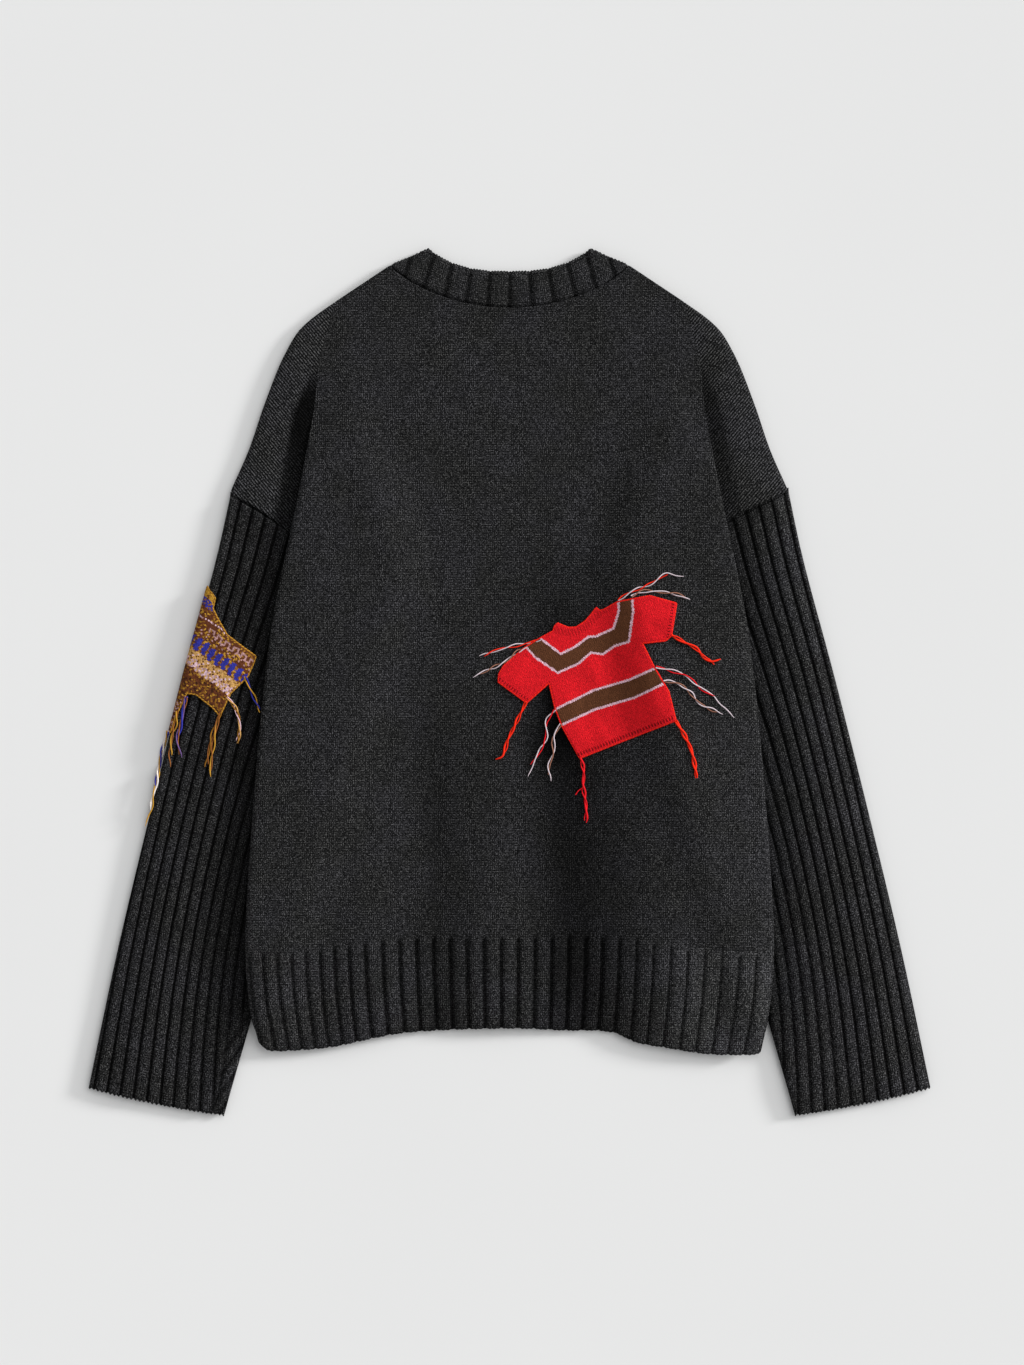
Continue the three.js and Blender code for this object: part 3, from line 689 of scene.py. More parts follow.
def sleeve(side):
    """A ribbed tube pressed flat. Each row goes once round: along the top, and back along the underside."""
    rows = 150
    fold = [0, 0.3, 0.9, 1.8, 3.0, 4.2]
    near = np.concatenate([fold, np.arange(5, 76, SHOWN_COLUMN)]) / 140
    far = 1 - np.concatenate([np.arange(60, 4.5, -HIDDEN_COLUMN), fold[::-1]]) / 130
    s = np.concatenate([near[near < far[0]], far])[None]
    rim, rim_turn = roll_steps(END_ROLL)
    t = np.concatenate([[-0.008, -0.004], rim[:-1], np.linspace(END_ROLL, 1 - END_ROLL, rows),
                        1 - rim[:-1][::-1]])[:, None]
    end = np.concatenate([[1, 1], rim_turn[:-1], np.zeros(rows), rim_turn[:-1][::-1]])[:, None]
    point = sleeve_point(side, t, s)
    width = np.linalg.norm(point[:, :1, :2] - point[:, -1:, :2], axis=-1)
    from_edge = np.minimum(s, 1 - s) * width
    reach = s * width
    pitch = SLEEVE_RIB + SLEEVE_RIB_SPREAD * (t - 0.58) ** 2
    first = SLEEVE_FIRST_RIB[side] + 17 * (t - 0.36) ** 2
    counted = (reach - first) / pitch
    ridges = rib(counted, ridge=0.80, soft=0.085)
    across, along = point[..., 0] * side, point[..., 1]
    fold_x = CUFF_FOLD_X - CUFF_FOLD_SLOPE * (along - CUFF_FOLD_Y)
    turned = smooth((fold_x - across) / 2.5 + 0.5) * smooth((t - 0.80) / 0.08) if side < 0 else 0 * across
    slanting = rib((TURNED_ACROSS * across + TURNED_ALONG * along) / TURNED_RIB, ridge=0.78, soft=0.10)
    ridges = lerp(ridges, slanting, turned) * (1 - 0.8 * turned * bell((across - fold_x) / 3.0))
    point[..., 1] -= (0.35 * ridges + 0.8 * np.sin(reach * 2 * np.pi / 3.6)) * smooth((t - 0.99) / 0.01)
    bulge = tube_bulge(from_edge)
    grooves = (1 - ridges) * SLEEVE_RIB_DEPTH * smooth(from_edge / 2.5)
    # the tube is pressed down to a tenth of its height at the armhole, and to a half at the cuff
    ends = rounded(np.sqrt(np.where(t < 0.5, 0.99, 0.75)) * end)
    up = (bulge + sleeve_puff(from_edge, s) - grooves - 1.2 * turned * smooth(from_edge / 3)) * ends
    down = (bulge - 0.3 * grooves) * ends
    wall = np.clip(bulge * ends - WALL, 0.15, None)
    # and the shade in the grooves; painted light on the ridges, on that corner and on the outermost rib
    # painted shade: the body's shadow on the sleeve beside its edge, weaker on the corner turned over at the
    # cuff,
    from_body = np.abs(point[..., 0]) - body_edge(point[..., 1])
    darker, how_far = BESIDE_BODY[side]
    crook = darker * bell(np.clip(from_body, 0, None) / how_far)
    shade = lerp(0.12, RIDGE_LIGHT[side], ridges) * (1 - crook * (1 - 0.75 * turned)) * (1 + 0.35 * turned)
    shade = shade * (1 + 0.15 * bell((reach - 9) / 7))  # the outermost rib catches more light
    back = slice(-2, 0, -1)

    def ring(above, below):
        top, under = point.copy(), point[:, back].copy()
        top[..., 2] += above
        under[..., 2] -= below[:, back]
        return np.concatenate([top, under], 1)

    outside = ring(up, down)
    inside = ring(wall, wall)[::-1]
    wales = MEAN_RIB * np.concatenate([counted, -counted[:, back]], 1)
    knit = np.stack(np.broadcast_arrays(wales, -SLEEVE_LENGTH * t), -1)
    shade = np.concatenate([shade, shade[:, back]], 1)
    keep = np.unique(np.concatenate([[0], np.arange(0, len(t), 6), [len(t) - 1]]))
    tube = np.concatenate([outside, inside[keep], outside[:1]])
    knit = np.concatenate([knit, knit[::-1][keep], knit[:1]])
    # painted shade: the tube's inside is half as light
    shade = np.concatenate([shade, 0.5 * shade[::-1][keep], shade[:1]])
    count, cols = tube.shape[:2]
    faces = quads_of(count, cols, close=True)
    faces = np.where(faces >= (count - 1) * cols, faces - (count - 1) * cols, faces)
    if side > 0:
        faces = faces[:, ::-1]
    cloth = Cloth()
    cloth.add(tube[:-1], faces, knit[:-1].reshape(-1, 2), shade[:-1].ravel())
    return cloth.made(f"sleeve_{'left' if side < 0 else 'right'}_rib", RIBBED)


# ---- collar


def collar():
    """A ribbed ring: the back half on top, and the front half under it, turned at the shoulder folds."""
    half = NECK_HALF - 0.5
    peak = PEAK_HALF - 0.5
    u = np.sin(np.linspace(-0.5, 0.5, 361) * np.pi)
    away = np.array([0, 0.3, 0.9, 1.8, 3.0])
    s = np.concatenate([away, np.linspace(COLLAR_ROLL, COLLAR_HEIGHT - COLLAR_ROLL, 14),
                        COLLAR_HEIGHT - away[::-1]])[:, None] / COLLAR_HEIGHT
    cloth = Cloth()
    for face, seam_at, low in ((1, back_top, BACK_TOP_Y), (-1, front_top, FRONT_TOP_Y)):
        seam = np.stack([half * u, seam_at(NECK_HALF * u) + 0.3], -1)
        inward = np.clip(np.abs(u) / COLLAR_TURN, 0, 1)
        crown = PEAK_Y - 0.4 - (PEAK_Y - low) * (1 - inward**2.6)
        crown = np.stack([peak * np.sign(u) * inward, crown], -1)
        past = 0.95 * np.clip((np.abs(u) - COLLAR_TURN) / (1 - COLLAR_TURN), 0, 1)[:, None]
        crown = lerp(crown, np.stack([half * np.sign(u), 0 * u + seam[0, 1]], -1), past)
        arc = lengths(seam)
        arc = arc - arc[-1] / 2
        ridges = rib(arc / (arc[-1] * 2 / COLLAR_RIBS), ridge=0.80, soft=0.075)[None]
        end = np.clip(1 - (arc[-1] - np.abs(arc)) / COLLAR_ROLL, 0, 1)[None]
        plan = lerp(seam[None], crown[None], s[..., None])
        stitch = 0.45 * np.sin(arc * 2 * np.pi / 2.9)[None]  # the bound-off edge
        tip = 0.9 * bell((np.abs(u) - COLLAR_TURN) / 0.09)[None] + 1.4 * bell(u / COLLAR_TURN)[None]
        plan[..., 1] += (stitch + tip) * smooth((s - 0.9) / 0.1)
        plan[..., 1] += (ridges - 0.6) * (0.6 * smooth((s - 0.9) / 0.1) - 0.9 * smooth((0.1 - s) / 0.1))
        from_rim = np.minimum(s, 1 - s) * COLLAR_HEIGHT
        rise = 0.9 if face > 0 else 0
        reach = HALF_STACK + rise - COLLAR_RIB_DEPTH * (1 - ridges)
        reach = reach * rounded(1 - np.clip(from_rim / COLLAR_ROLL, 0, 1)) * rounded(end)
        outside = MIDDLE + face * reach
        inside = MIDDLE + face * np.minimum(LAYER_GAP / 2, reach)
        knit = np.stack(np.broadcast_arrays(arc[None], COLLAR_HEIGHT * s), -1)
        # painted shade in the ribs' grooves and painted light on their ridges
        cloth.shell(plan, outside, inside, face, knit, lerp(0.52, 1.10, ridges) + 0 * s)
    return cloth.made("collar_rib", RIBBED)


# ---- what the patches and yarns lie on


def ground(x, y):
    """Height of the garment's upper side, or of the floor, at a place seen from above."""
    across = np.abs(x)
    from_edge = (sleeve_outer(y) - across) * 0.974
    s = from_edge / MEAN_WIDTH
    from_edge = np.clip(from_edge, 0, None)
    on_sleeve = sleeve_middle(-1, y, s) + tube_bulge(from_edge) + sleeve_puff(from_edge, s)
    on_sleeve = np.where(s > 0, on_sleeve, 0)
    return np.where(across < body_edge(y) - 1, back_surface(x, y), on_sleeve)


# ---- yarns


def srgb(red, green, blue):
    """A colour as it looks on a screen, 0 to 255, as light."""
    c = np.array([red, green, blue]) / 255
    return np.where(c < 0.04, c / 12.92, ((c + 0.055) / 1.055) ** 2.4)


RED = srgb(223, 29, 38)
ORANGE_RED = srgb(242, 46, 24)
UMBER = srgb(94, 58, 38)
UMBER_YARN = srgb(150, 106, 88)
PINK = srgb(226, 186, 200)
WHITE = srgb(214, 200, 206)
BLUE = srgb(52, 54, 150)
VIOLET = srgb(112, 86, 136)
GOLD = srgb(190, 142, 52)
OCHRE = srgb(146, 100, 36)
BROWN = srgb(100, 56, 34)
DARK_BROWN = srgb(66, 38, 26)
TAN = srgb(204, 158, 96)
CREAM = srgb(232, 222, 214)
ROSE = srgb(188, 146, 144)
LILAC = srgb(222, 188, 200)
RUST = srgb(150, 92, 46)


YARN_STEP = 0.9  # between the points of a loose yarn


def resampled(points, step):
    """A smooth line through points, with its points about step apart."""
    p = np.asarray(points, float)
    along = lengths(p)
    at = np.linspace(0, along[-1], max(int(along[-1] / step), 2) + 1)
    return np.stack([through(np.stack([along, c], -1))(at) for c in p.T], -1)


def across_line(centres):
    """The two directions across a line of points, level and upwards."""
    along = np.gradient(centres, axis=0)
    along /= np.linalg.norm(along, axis=1, keepdims=True)
    across = np.cross(along, [0, 0, 1.0])
    across /= np.linalg.norm(across, axis=1, keepdims=True)
    return across, np.cross(across, along)


def tube(cloth, centres, radius, colour):
    """A round thread along a line of points. radius may change along it."""
    sides = 6
    across, above = across_line(centres)
    angle = np.linspace(0, 2 * np.pi, sides, endpoint=False)[None, :, None]
    radius = np.broadcast_to(radius, len(centres))[:, None, None]
    ring = centres[:, None] + radius * (np.cos(angle) * across[:, None] + np.sin(angle) * above[:, None])
    ring[..., 2] = np.maximum(ring[..., 2], 0.05)
    count = len(centres)
    faces = [list(f[::-1]) for f in quads_of(count, sides, close=True)]
    faces.append(list(range(sides)))
    faces.append([(count - 1) * sides + i for i in range(sides)][::-1])
    cloth.add(ring, faces, (0, 0), 1.0, colour)


def twisted(cloth, centres, strands, offset, pitch, start=0.0, spread=0.0):
    """Strands wound round each other. Each is (colour, radius, share of the length at which it ends)."""
    across, above = across_line(centres)
    length = lengths(centres)
    for number, (colour, radius, end) in enumerate(strands):
        turn = 2 * np.pi * (length / pitch + number / len(strands)) + start
        apart = offset * (1 + spread * np.sin(length / 8 + start) ** 2)
        aside, upwards = np.cos(turn)[:, None] * across, 0.8 * np.sin(turn)[:, None] * above
        line = centres + apart[:, None] * (aside + upwards)
        keep = length <= end * length[-1] + 1e-6
        share = length[keep] / (end * length[-1])
        taper = radius * (1 - 0.55 * smooth((share - 0.93) / 0.07))
        tube(cloth, line[keep], taper, colour)


def tail(name, points, strands, lift, pitch, start, whiskers=()):
    """A loose end of two or three yarns, lying on the garment from just inside the edge of its patch."""
    cloth = Cloth()
    plan = resampled(points, YARN_STEP)
    length = lengths(plan)
    height = np.max([ground(plan[:, 0] + aside, plan[:, 1]) for aside in (-2, 0, 2)], axis=0)
    window = 9  # points in the running mean that keeps the yarn from following every rib
    padded = np.pad(height, window // 2, mode="edge")
    height = np.convolve(padded, np.ones(window) / window, "valid")
    wave = 0.5 * (1 - np.cos(length / 7 + start))
    rise = 1.0 + lift * np.exp(-length / 5) + 0.6 * wave  # highest where it comes out of the patch
    centres = np.concatenate([plan, (height + rise)[:, None]], 1)
    twisted(cloth, centres, strands, 0.68, pitch, start, spread=0.9)
    for whisker in whiskers:  # a fibre that has come away from the yarn
        plan = resampled(whisker, YARN_STEP)
        height = ground(*plan.T) + 1.0
        tube(cloth, np.concatenate([plan, height[:, None]], 1), 0.45, strands[0][0])
    return cloth.made(name, YARN, sharp=80)


# ---- patches


def inside(points, outline):
    x, y = points.T
    odd = np.zeros(len(points), bool)
    for (ax, ay), (bx, by) in zip(outline, np.roll(outline, -1, 0)):
        if ay != by:
            odd ^= ((ay > y) != (by > y)) & (x < ax + (y - ay) / (by - ay) * (bx - ax))
    return odd


def distance_to(points, line):
    """Distance from each point to a line of joined points."""
    line = np.asarray(line, float)
    nearest = np.full(len(points), np.inf)
    for a, b in zip(line[:-1], line[1:]):
        t = np.clip((points - a) @ (b - a) / ((b - a) @ (b - a)), 0, 1)
        nearest = np.minimum(nearest, np.linalg.norm(points - a - t[:, None] * (b - a), axis=1))
    return nearest


def closed_line(corners, step, waver, seed):
    """A closed outline with points about step apart, drawn by hand: it wavers a little."""
    rng = np.random.default_rng(seed)
    corners = np.asarray(corners, float)
    line = []
    for a, b in zip(corners, np.roll(corners, -1, 0)):
        count = max(int(round(np.linalg.norm(b - a) / step)), 1)
        line.append(a + (b - a) * np.arange(count)[:, None] / count)
    line = np.concatenate(line)
    soft = (np.roll(line, 1, 0) + 2 * line + np.roll(line, -1, 0)) / 4
    wander = rng.normal(0, waver, soft.shape)
    return soft + (wander + np.roll(wander, 1, 0)) / 2


def cut(outline, grid):
    """Triangles that fill an outline, with grid points inside it: (points, triangles)."""
    edge = np.asarray(outline)
    lattice = grid[inside(grid, edge)]
    lattice = lattice[distance_to(lattice, np.concatenate([edge, edge[:1]])) > 0.25]
    every = [Vector(p) for p in np.concatenate([edge, lattice])]
    points, _, triangles, *_ = delaunay_2d_cdt(every, [], [list(range(len(edge)))], 1, 1e-4)
    return np.array([tuple(p) for p in points]), np.array(triangles)


def lattice_over(outline, across, along):
    low, high = np.min(outline, 0), np.max(outline, 0)
    x = np.arange(math.floor(low[0] / across), high[0] / across + 1) * across
    y = np.arange(math.floor(low[1] / along), high[1] / along + 1) * along
    return np.stack(np.meshgrid(x, y), -1).reshape(-1, 2)


PATCH_ROLL = 1.5  # how far in a patch's edge starts to round off


def patch_cloth(outline, across, along, place, colour_of, edge_colour):
    """A knitted patch. place turns flat points and a share of the thickness, 0 to 1, into the frame."""
    points, triangles = cut(outline, lattice_over(outline, across, along))
    depth = distance_to(points, np.concatenate([outline, outline[:1]]))
    top = place(points, 0.35 + 0.65 * rounded(1 - np.clip(depth / PATCH_ROLL, 0, 1)))
    bottom = place(points, np.zeros(len(points)))
    count = len(points)
    edges = np.concatenate([triangles[:, [0, 1]], triangles[:, [1, 2]], triangles[:, [2, 0]]])
    known = {(int(a), int(b)) for a, b in edges}
    border = [(a, b) for a, b in known if (b, a) not in known]
    sides = [[b, a, a + count, b + count] for a, b in border]
    face_colour = colour_of(points[triangles].mean(1))
    face_colour = np.concatenate([face_colour, face_colour, np.broadcast_to(edge_colour, (len(sides), 3))])
    faces = [*triangles, *(triangles[:, ::-1] + count), *sides]
    return Cloth().add(np.concatenate([top, bottom]), faces, np.tile(points, (2, 1)), 1.0, face_colour)


def overcast(name, outline, seed, place, strands, offset, pitch):
    """The sewn edge of a patch: yarn wound along its outline."""
    cloth = Cloth()
    twisted(cloth, place(closed_line(outline, 0.6, 0.05, seed), np.full(1, 0.62)), strands, offset, pitch)
    return cloth.made(name, YARN, sharp=80)


RED_X, RED_Y, RED_TURN = 78.5, 1.3, math.radians(21)
RED_JUMPER = [(-42, -54), (45, -53), (48, -28), (44, -4), (42, 18), (61, 13), (67, 15), (81, 39), (62, 53),
              (35, 58), (22, 56), (18.5, 56.5), (17, 60), (12.5, 57), (4, 52.5), (-5, 50.5), (-11, 52.5),
              (-15, 56), (-18.5, 59.5), (-22, 57.5), (-24, 54.5), (-36, 53), (-52, 50), (-74, 42), (-80, 37),
              (-83, 31), (-67, 6), (-43, 15), (-46, -7), (-46, -23)]
YOKE_UPPER = [(-36, 52), (-25, 34), (-12, 35), (2, 39), (8, 37), (24, 38), (33, 49.5), (35.5, 57)]
YOKE_LOWER = [(-50, 49.5), (-46, 39), (-33, 20), (-14, 21), (-1, 26), (8, 21), (20, 24), (32, 23), (44, 45),
              (48, 57.5)]
STRIPE_UPPER = [(-46, -8), (-10, -4.5), (20, -7), (44, -5.5)]
STRIPE_LOWER = [(-46, -22), (-15, -20), (20, -22.5), (48, -20)]
RED_RIBS = [  # an edge, from where to where the ribs run beside it, and how dark the painted shade in their grooves is
    ([(-20, 59), (-15, 54), (-6, 50.5), (4, 52.5), (18, 59)], 1.6, 7.0, 0.55),
    ([(-42, -54), (45, -53)], 2.0, 5.2, 0.32),
    ([(-83, 31), (-67, 6)], 1.8, 4.2, 0.32),
    ([(67, 15), (81, 39)], 1.8, 4.2, 0.32),
]
RED_WALE, RED_COURSE = 1.7, 1.4
RED_THICK = 2.2
RIB_DASH = 1.5 * RED_WALE  # between the grooves of the patch's own ribs
RED_PUCKERS = [  # in the jumper's own plan: start, end, width, height
    ((-6, 30), (-2, -8), 7, 0.9), ((14, 28), (20, -6), 6, -0.7), ((32, 22), (34, -50), 7, 0.8),
    ((-30, 20), (-34, -52), 8, 0.8), ((4, -20), (6, -54), 6, -0.6), ((-20, -22), (-14, -54), 6, 0.6),
    ((44, 45), (78, 28), 7, 0.8), ((-50, 42), (-74, 22), 7, 0.8), ((50, 30), (66, 18), 5, -0.5),
]


def on_red_patch(points, share):
    """The red jumper's place on the back. share is how far up through its thickness."""
    x, y = points.T
    c, s = math.cos(RED_TURN), math.sin(RED_TURN)
    px, py = RED_X + x * c - y * s, RED_Y + x * s + y * c
    pucker = sum(crease(x, y, *fold) for fold in RED_PUCKERS)
    z = back_surface(px, py) + 0.3 + share * (RED_THICK + pucker)
    return np.stack([px, py, z], -1)


def red_colours(centres):
    """The colour of each face of the red jumper, stitch by stitch, with painted light and shade on its
    puckers and in its rib grooves.
    """
    rng = np.random.default_rng(4)
    x, y = centres.T
    cell = np.stack([np.floor(x / RED_WALE), np.floor(y / RED_COURSE)]).astype(int)
    mx, my = (cell[0] + 0.5) * RED_WALE, (cell[1] + 0.5) * RED_COURSE  # the middle of each face's stitch
    chance = rng.random((300, 300))[cell[0] + 150, cell[1] + 150]
    lower, upper, low, high = (np.interp(mx, *np.array(line).T)
                               for line in (YOKE_LOWER, YOKE_UPPER, STRIPE_LOWER, STRIPE_UPPER))
    within_x = (mx > YOKE_LOWER[0][0]) & (mx < YOKE_LOWER[-1][0])
    above = (mx < YOKE_UPPER[0][0]) | (mx > YOKE_UPPER[-1][0])
    yoke = within_x & (my > lower) & ((my < upper) | above)
    stripe = (my < high) & (my > low)
    face_colour = np.where((yoke | stripe)[:, None], UMBER, RED)
    # painted light on the puckers' ridges and painted shade in their hollows, over the yarn's uneven tone
    relief = sum(crease(x, y, *fold) for fold in RED_PUCKERS)
    face_colour = face_colour * (0.88 + 0.24 * chance + 0.13 * relief)[:, None]
    # the ribs beside the edges are painted as dashes of shade in their grooves
    for line, near, far, dark in RED_RIBS:
        off = distance_to(centres, line)
        first, last = np.array(line[0], float), np.array(line[-1], float)
        along = (centres - first) @ (last - first) / np.linalg.norm(last - first)
        dashes = (off > near) & (off < far) & (along % RIB_DASH < 0.38 * RIB_DASH) & ~(yoke | stripe)
        face_colour = np.where(dashes[:, None], RED * dark, face_colour)
    for line in (YOKE_UPPER, YOKE_LOWER, STRIPE_UPPER, STRIPE_LOWER):
        twist = 0.22 * np.sin(x * 2 * np.pi / 2.1 + y)
        near = distance_to(centres, line) < 0.95 + twist
        face_colour = np.where(near[:, None], PINK * (0.8 + 0.35 * chance[:, None]), face_colour)
    return face_colour


# The Fair Isle jumper's outline, above the sleeve's outer edge and under it
FOLDED_JUMPER = [(-253, 81), (-247, 71), (-249, 62), (-245, 54), (-237, 40), (-224, 30), (-213, 22),
                 (-215, 16), (-220, 5), (-234, -9), (-243, -28), (-249, -21), (-263, -10), (-271, -9),
                 (-276, -20), (-280, -29), (-284, -42)]
FOLDED_UNDER = [(-262, -38), (-246, -20), (-238, 10), (-240, 40), (-250, 62), (-262, 81)]
FOLD_RADIUS = TUBE_HALF + 0.5
FAIR_WALE, FAIR_COURSE = 1.4, 1.25
FAIR_THICK, FAIR_THIN = 1.7, 1.2  # its thickness above the sleeve, and pressed under it


def round_the_edge(x, y, under):
    """A place above or under the sleeve as (distance round from its outer edge, y)."""
    away = np.clip(sleeve_outer(y) + x, 0, None)
    turned = FOLD_RADIUS * np.arccos(1 - np.clip(away / FOLD_RADIUS, 0, 1))
    reach = turned + np.clip(away - FOLD_RADIUS, 0, None)
    return np.stack([-reach if under else reach, y], -1)


def on_sleeve_patch(points, share):
    """The Fair Isle jumper's place round the sleeve's edge. share is how far up through its thickness."""
    wound, y = points.T
    reach = np.abs(wound)
    quarter = FOLD_RADIUS * np.pi / 2
    angle = np.clip(reach / FOLD_RADIUS, 0, np.pi / 2)
    away = FOLD_RADIUS * (1 - np.cos(angle)) + np.clip(reach - quarter, 0, None)
    out = 0.1 + share * np.where(wound > 0, FAIR_THICK, FAIR_THIN)
    rise = (FOLD_RADIUS + out) * np.sin(angle)
    s = away / MEAN_WIDTH
    rise = np.where(wound > 0, rise + sleeve_puff(away, s), rise)
    x = -sleeve_outer(y) + away - out * np.cos(angle)
    z = sleeve_middle(-1, y, s) + np.sign(wound) * rise
    return np.stack([x, y, np.maximum(z, 0.02)], -1)


BAND_DOWN = math.radians(-36.5)  # the way the bands run
CHART = [  # from the collar down: how far the rows reach, and the rows, each a repeat of stitches
    (-93.0, ["ggog", "gogg"]),
    (-98.5, ["uuou", "uoum", "ouuu"]),
    (-106.5, ["bmmb", "mbbm", "mbmb"]),
    (-108.0, ["pbpqpqb"]),
    (-109.5, ["bbmbbbmb"]),
    (-116.0, ["ccccbb", "cbbcbb", "cbbcmb", "cbbccc", "bmbbmb"]),
    (-123.0, ["mbbm", "bbmq", "mmbb", "bmmb", "bbmbq"]),
    (-134.0, ["mmuum", "muuum", "muuuo", "uuuum", "muuum", "ouuuo", "muuum", "mmuuu", "mmuum"]),
    (-139.5, ["tttottbt", "tptttott", "ttotttmt", "tbtttttp"]),
    (-148.0, ["tptpptqt", "ptbppqtp", "qtpptptq", "tqpbtptb", "pqtpqpbt"]),
    (-400.0, ["nnmb", "bnnn", "nmbn", "nnbb", "bnnm", "bbnn"]),
]
FAIR_ISLE = {"g": GOLD, "o": OCHRE, "b": BROWN, "u": BLUE, "p": LILAC, "q": ROSE, "t": TAN}
MIXED = {"m": (OCHRE, BROWN, GOLD, BROWN, OCHRE), "n": (BROWN, OCHRE, BROWN, DARK_BROWN, OCHRE)}


def fair_isle_colours(centres):
    """The dye of each face of the Fair Isle jumper, stitch by stitch."""
    rng = np.random.default_rng(11)
    x = centres[:, 0] - sleeve_outer(centres[:, 1])
    y = centres[:, 1]
    along = x * math.cos(BAND_DOWN) + y * math.sin(BAND_DOWN)
    up = -x * math.sin(BAND_DOWN) + y * math.cos(BAND_DOWN)
    up = up + 0.55 * np.sin(along / 4.3) + 0.35 * np.sin(along / 1.9 + 1)
    wale = np.floor((along + 0.35 * np.sin(up)) / FAIR_WALE).astype(int)
    row = np.floor(up / FAIR_COURSE).astype(int)
    chance = rng.random((400, 400))
    face_colour = np.zeros((len(centres), 3))
    for i in range(len(centres)):
        luck = chance[wale[i] % 400, row[i] % 400]
        level = (row[i] + 0.5) * FAIR_COURSE
        rows = next(rows for reach, rows in CHART if level > reach)
        text = rows[-row[i] % len(rows)]
        letter = text[wale[i] % len(text)]
        reach = centres[i, 0]
        if letter == "c":  # the meander, which fades out towards the sleeve's edge
            letter = "q" if luck < 0.95 * smooth((reach - 8) / 16) else "m"
        if y[i] < -14 and reach < 12:  # the narrow strip along the sleeve's edge
            letter = "q" if luck > 0.7 else "n"
        if letter in MIXED or (letter in "ob" and luck > 0.8):
            patchy = chance[(wale[i] // 3) % 400, (row[i] // 3 + 200) % 400]
            colour = MIXED.get(letter, MIXED["m"])[int(2.2 * patchy + 2.8 * luck)]
        else:
            colour = FAIR_ISLE[letter]
        face_colour[i] = colour * (0.8 + 0.45 * chance[(wale[i] * 7 + 3) % 400, (row[i] * 5 + 1) % 400])
    return face_colour


# ---- stage

FLOOR_HALF = 6000
FLOOR_Z = -0.3  # just clear of the garment's underside
CAMERA_HEIGHT = 2.2  # above the garment's upper side; this and the next three are in metres
VIEW_HEIGHT = 1.1466  # of what the camera sees
UPPER_SIDE = 0.01
CAMERA_X = 0.0021  # the photo's middle is this far to the right of the garment's
SENSOR_HEIGHT = 36
WORLD_STRENGTH = 0.43
LIGHTS = [  # name, where its light goes, size in degrees, strength
    ("window", (-1.0, -0.34, -0.30), 10, 2.62),
    ("softbox", (-0.75, -0.65, -1.0), 60, 1.55),
]


def backdrop():
    shader = Shader("pale_paper", roughness=0.9)
    speck = shader.noise(3.0, detail=1)
    shader.colour(shader.ramp(speck, [(0.3, (0.795, 0.795, 0.79)), (0.7, (0.805, 0.805, 0.80))]))
    return shader.material


def stage():
    corners = [(x * FLOOR_HALF, y * FLOOR_HALF, FLOOR_Z) for x, y in ((-1, -1), (1, -1), (1, 1), (-1, 1))]
    floor = Cloth().add(corners, [(0, 1, 2, 3)], (0, 0)).made("floor", backdrop())
    world = bpy.data.worlds.new("studio")
    world.use_nodes = True
    background = world.node_tree.nodes["Background"]
    background.inputs["Color"].default_value = (0.98, 0.99, 1.0, 1)
    background.inputs["Strength"].default_value = WORLD_STRENGTH
    bpy.context.scene.world = world
    for name, heading, size, strength in LIGHTS:
        light = bpy.data.lights.new(name, "SUN")
        light.angle = math.radians(size)
        light.energy = strength
        lamp = bpy.data.objects.new(name, light)
        lamp.rotation_euler = Vector(heading).to_track_quat("-Z", "Y").to_euler()
        bpy.context.scene.collection.objects.link(lamp)
    lens = bpy.data.cameras.new("camera")
    lens.sensor_fit = "VERTICAL"
    lens.sensor_height = SENSOR_HEIGHT
    lens.lens = SENSOR_HEIGHT * CAMERA_HEIGHT / VIEW_HEIGHT
    camera = bpy.data.objects.new("camera", lens)
    camera.location = (CAMERA_X, 0, CAMERA_HEIGHT + UPPER_SIDE)
    bpy.context.scene.collection.objects.link(camera)
    bpy.context.scene.camera = camera
    bpy.context.scene.view_settings.view_transform = "Standard"


# ---- the garment

stage()

YARN = yarn("loose_yarn")
RED_KNIT = dyed_knit("red_jumper_knit", RED_WALE, RED_COURSE, 0.46)
FAIR_ISLE_KNIT = dyed_knit("fair_isle_knit", FAIR_WALE, FAIR_COURSE, 0.26)

back = stand_for(panel(1), "back_panel")
front = stand_for(panel(-1), "front_panel")
hem_back = stand_for(hem_band(1), "hem_band_back")
hem_front = stand_for(hem_band(-1), "hem_band_front")
sleeve_left = stand_for(sleeve(-1), "sleeve_left")
sleeve_right = stand_for(sleeve(1), "sleeve_right")
ring = stand_for(collar(), "collar")

red_outline = closed_line(RED_JUMPER, 1.0, 0.12, 21)
red = patch_cloth(red_outline, RED_WALE / 2, RED_COURSE / 2, on_red_patch, red_colours, ORANGE_RED)
red = stand_for(red.made("red_jumper", RED_KNIT), "red_patch")
red_edge = overcast("red_jumper_edge", np.array(RED_JUMPER) * 0.992, 22, on_red_patch,
                    [(ORANGE_RED, 0.58, 1), (RED, 0.58, 1)], 0.4, 3.2)
stand_for(red_edge, "red_patch")

THIN, THICK = 0.50, 0.82  # radii of the red patch's loose yarns


def pale(end):
    return [(WHITE, THIN, 1), (UMBER_YARN, THIN, end)]


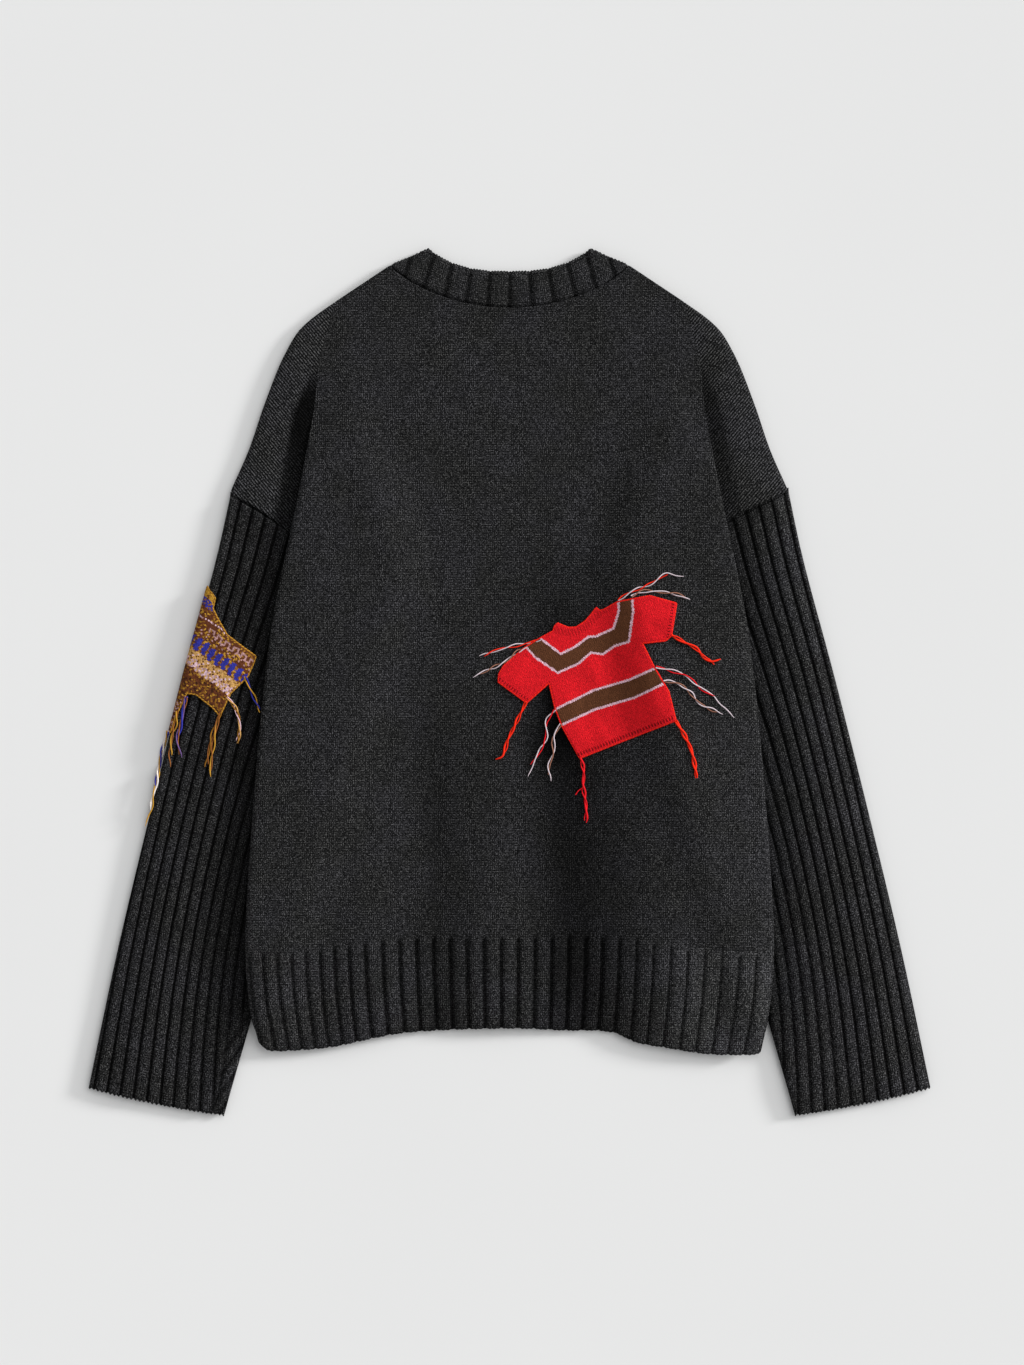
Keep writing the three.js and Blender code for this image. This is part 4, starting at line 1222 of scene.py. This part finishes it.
RED_TAILS = [  # the line, its strands, and lines of side fibres
    ([(91, 69), (101, 75.5), (119, 83), (132, 91), (146, 89)],
     [(ORANGE_RED, THIN, 0.78), (WHITE, THIN, 1)], ()),
    ([(102, 72), (110, 76), (125, 76), (143, 73), (151, 69)], pale(0.95), ()),
    ([(26, 36), (15, 33), (0, 30), (-14, 26), (-25, 21.5)], [(ORANGE_RED, THIN, 0.94), (WHITE, THIN, 1)], ()),
    ([(15, 29), (7, 26), (-3, 18), (-16, 11.5), (-31, 5)], pale(0.9), ()),
    ([(14, -16), (6, -33), (-1, -47), (-6, -61), (-12, -64)],
     [(ORANGE_RED, THICK, 1), (ORANGE_RED, THIN, 0.88)], ()),
    ([(38, -23), (31, -33), (31, -46), (24, -60), (18, -71), (16, -79)],
     [(WHITE, THIN, 1), (RED, THIN, 0.85)], ()),
    ([(43, -35), (37, -46), (37, -59), (33, -70), (34, -83)], pale(0.9), ()),
    ([(60, -63), (62.5, -77), (62, -88), (64.5, -104), (64, -118)], [(RED, THICK, 1), (RED, THIN, 0.97)],
     [[(61, -89), (58, -91), (55.5, -94.5)]]),
    ([(139, -32), (146, -43.5), (152, -56.5), (155, -69.5), (156.5, -80)],
     [(ORANGE_RED, THICK, 1), (ORANGE_RED, THICK, 1)], ()),
    ([(135.5, 40), (146, 34), (156, 28.5), (164, 20.5), (169, 18), (177, 18.5)],
     [(ORANGE_RED, THICK, 1), (ORANGE_RED, THIN, 0.85)], [[(167, 20), (168.5, 18), (171.5, 15)]]),
    ([(122.5, 13), (135, 10), (147, 6), (161, -5.5), (172, -12), (187.5, -30)],
     [(WHITE, THIN, 1), (RED, THIN, 0.7)], ()),
    ([(128.5, 1.5), (140, -0.5), (151, -8), (158.5, -17), (169, -22.5), (179, -26)],
     pale(0.92), ()),
]
for number, (line, strands, whiskers) in enumerate(RED_TAILS, 1):
    piece = tail(f"red_yarn_end_{number}", line, strands, lift=1.6, pitch=22 + 3 * (number % 4),
                 start=number * 1.7, whiskers=whiskers)
    stand_for(piece, f"red_tail_{number}")

folded = np.concatenate([round_the_edge(*np.array(FOLDED_JUMPER, float).T, False),
                         round_the_edge(*np.array(FOLDED_UNDER, float).T, True)])
folded_outline = closed_line(folded[::-1], 1.0, 0.12, 31)
fair = patch_cloth(folded_outline, FAIR_WALE / 2, FAIR_COURSE / 2, on_sleeve_patch, fair_isle_colours, GOLD)
fair = stand_for(fair.made("fair_isle_jumper", FAIR_ISLE_KNIT), "sleeve_patch")
fair_edge = overcast("fair_isle_jumper_edge", folded[::-1], 32, on_sleeve_patch,
                     [(GOLD, 0.5, 1), (OCHRE, 0.5, 1)], 0.35, 3.0)
stand_for(fair_edge, "sleeve_patch")

SLEEVE_TAILS = [
    ([(-287, -41), (-291.5, -53), (-294.5, -66), (-296, -80), (-298.5, -92), (-301, -104), (-305.5, -121)],
     [(BLUE, 0.7, 0.6), (CREAM, 0.75, 0.84), (GOLD, 0.55, 1)]),
    ([(-271, -12), (-274, -24), (-276, -36), (-279, -48), (-276, -63)],
     [(BLUE, 0.8, 0.75), (VIOLET, 0.55, 1), (RUST, 0.45, 0.96)]),
    ([(-279, -24), (-280, -34), (-283, -44), (-284.5, -56), (-285.5, -71)],
     [(GOLD, 0.6, 0.8), (RUST, 0.5, 1)]),
    ([(-242, -25), (-246, -34), (-250, -46), (-254.5, -71)], [(OCHRE, 0.6, 1), (RUST, 0.45, 0.95)]),
    ([(-243, -26), (-246.5, -40), (-249, -56), (-251.5, -79)], [(GOLD, 0.6, 1), (RUST, 0.45, 0.92)]),
    ([(-237, -12), (-231, -20), (-227, -32), (-227, -42), (-229, -51)],
     [(TAN, 0.6, 1), (LILAC, 0.45, 0.97), (OCHRE, 0.5, 1)]),
    ([(-222, 5), (-218, -5), (-214, -14), (-209, -25)], [(BLUE, 0.6, 0.9), (GOLD, 0.55, 1)]),
]
for number, (line, strands) in enumerate(SLEEVE_TAILS, 1):
    piece = tail(f"sleeve_yarn_end_{number}", line, strands, lift=1.2, pitch=24 + 4 * (number % 3),
                 start=number * 2.1)
    stand_for(piece, f"sleeve_tail_{number}")
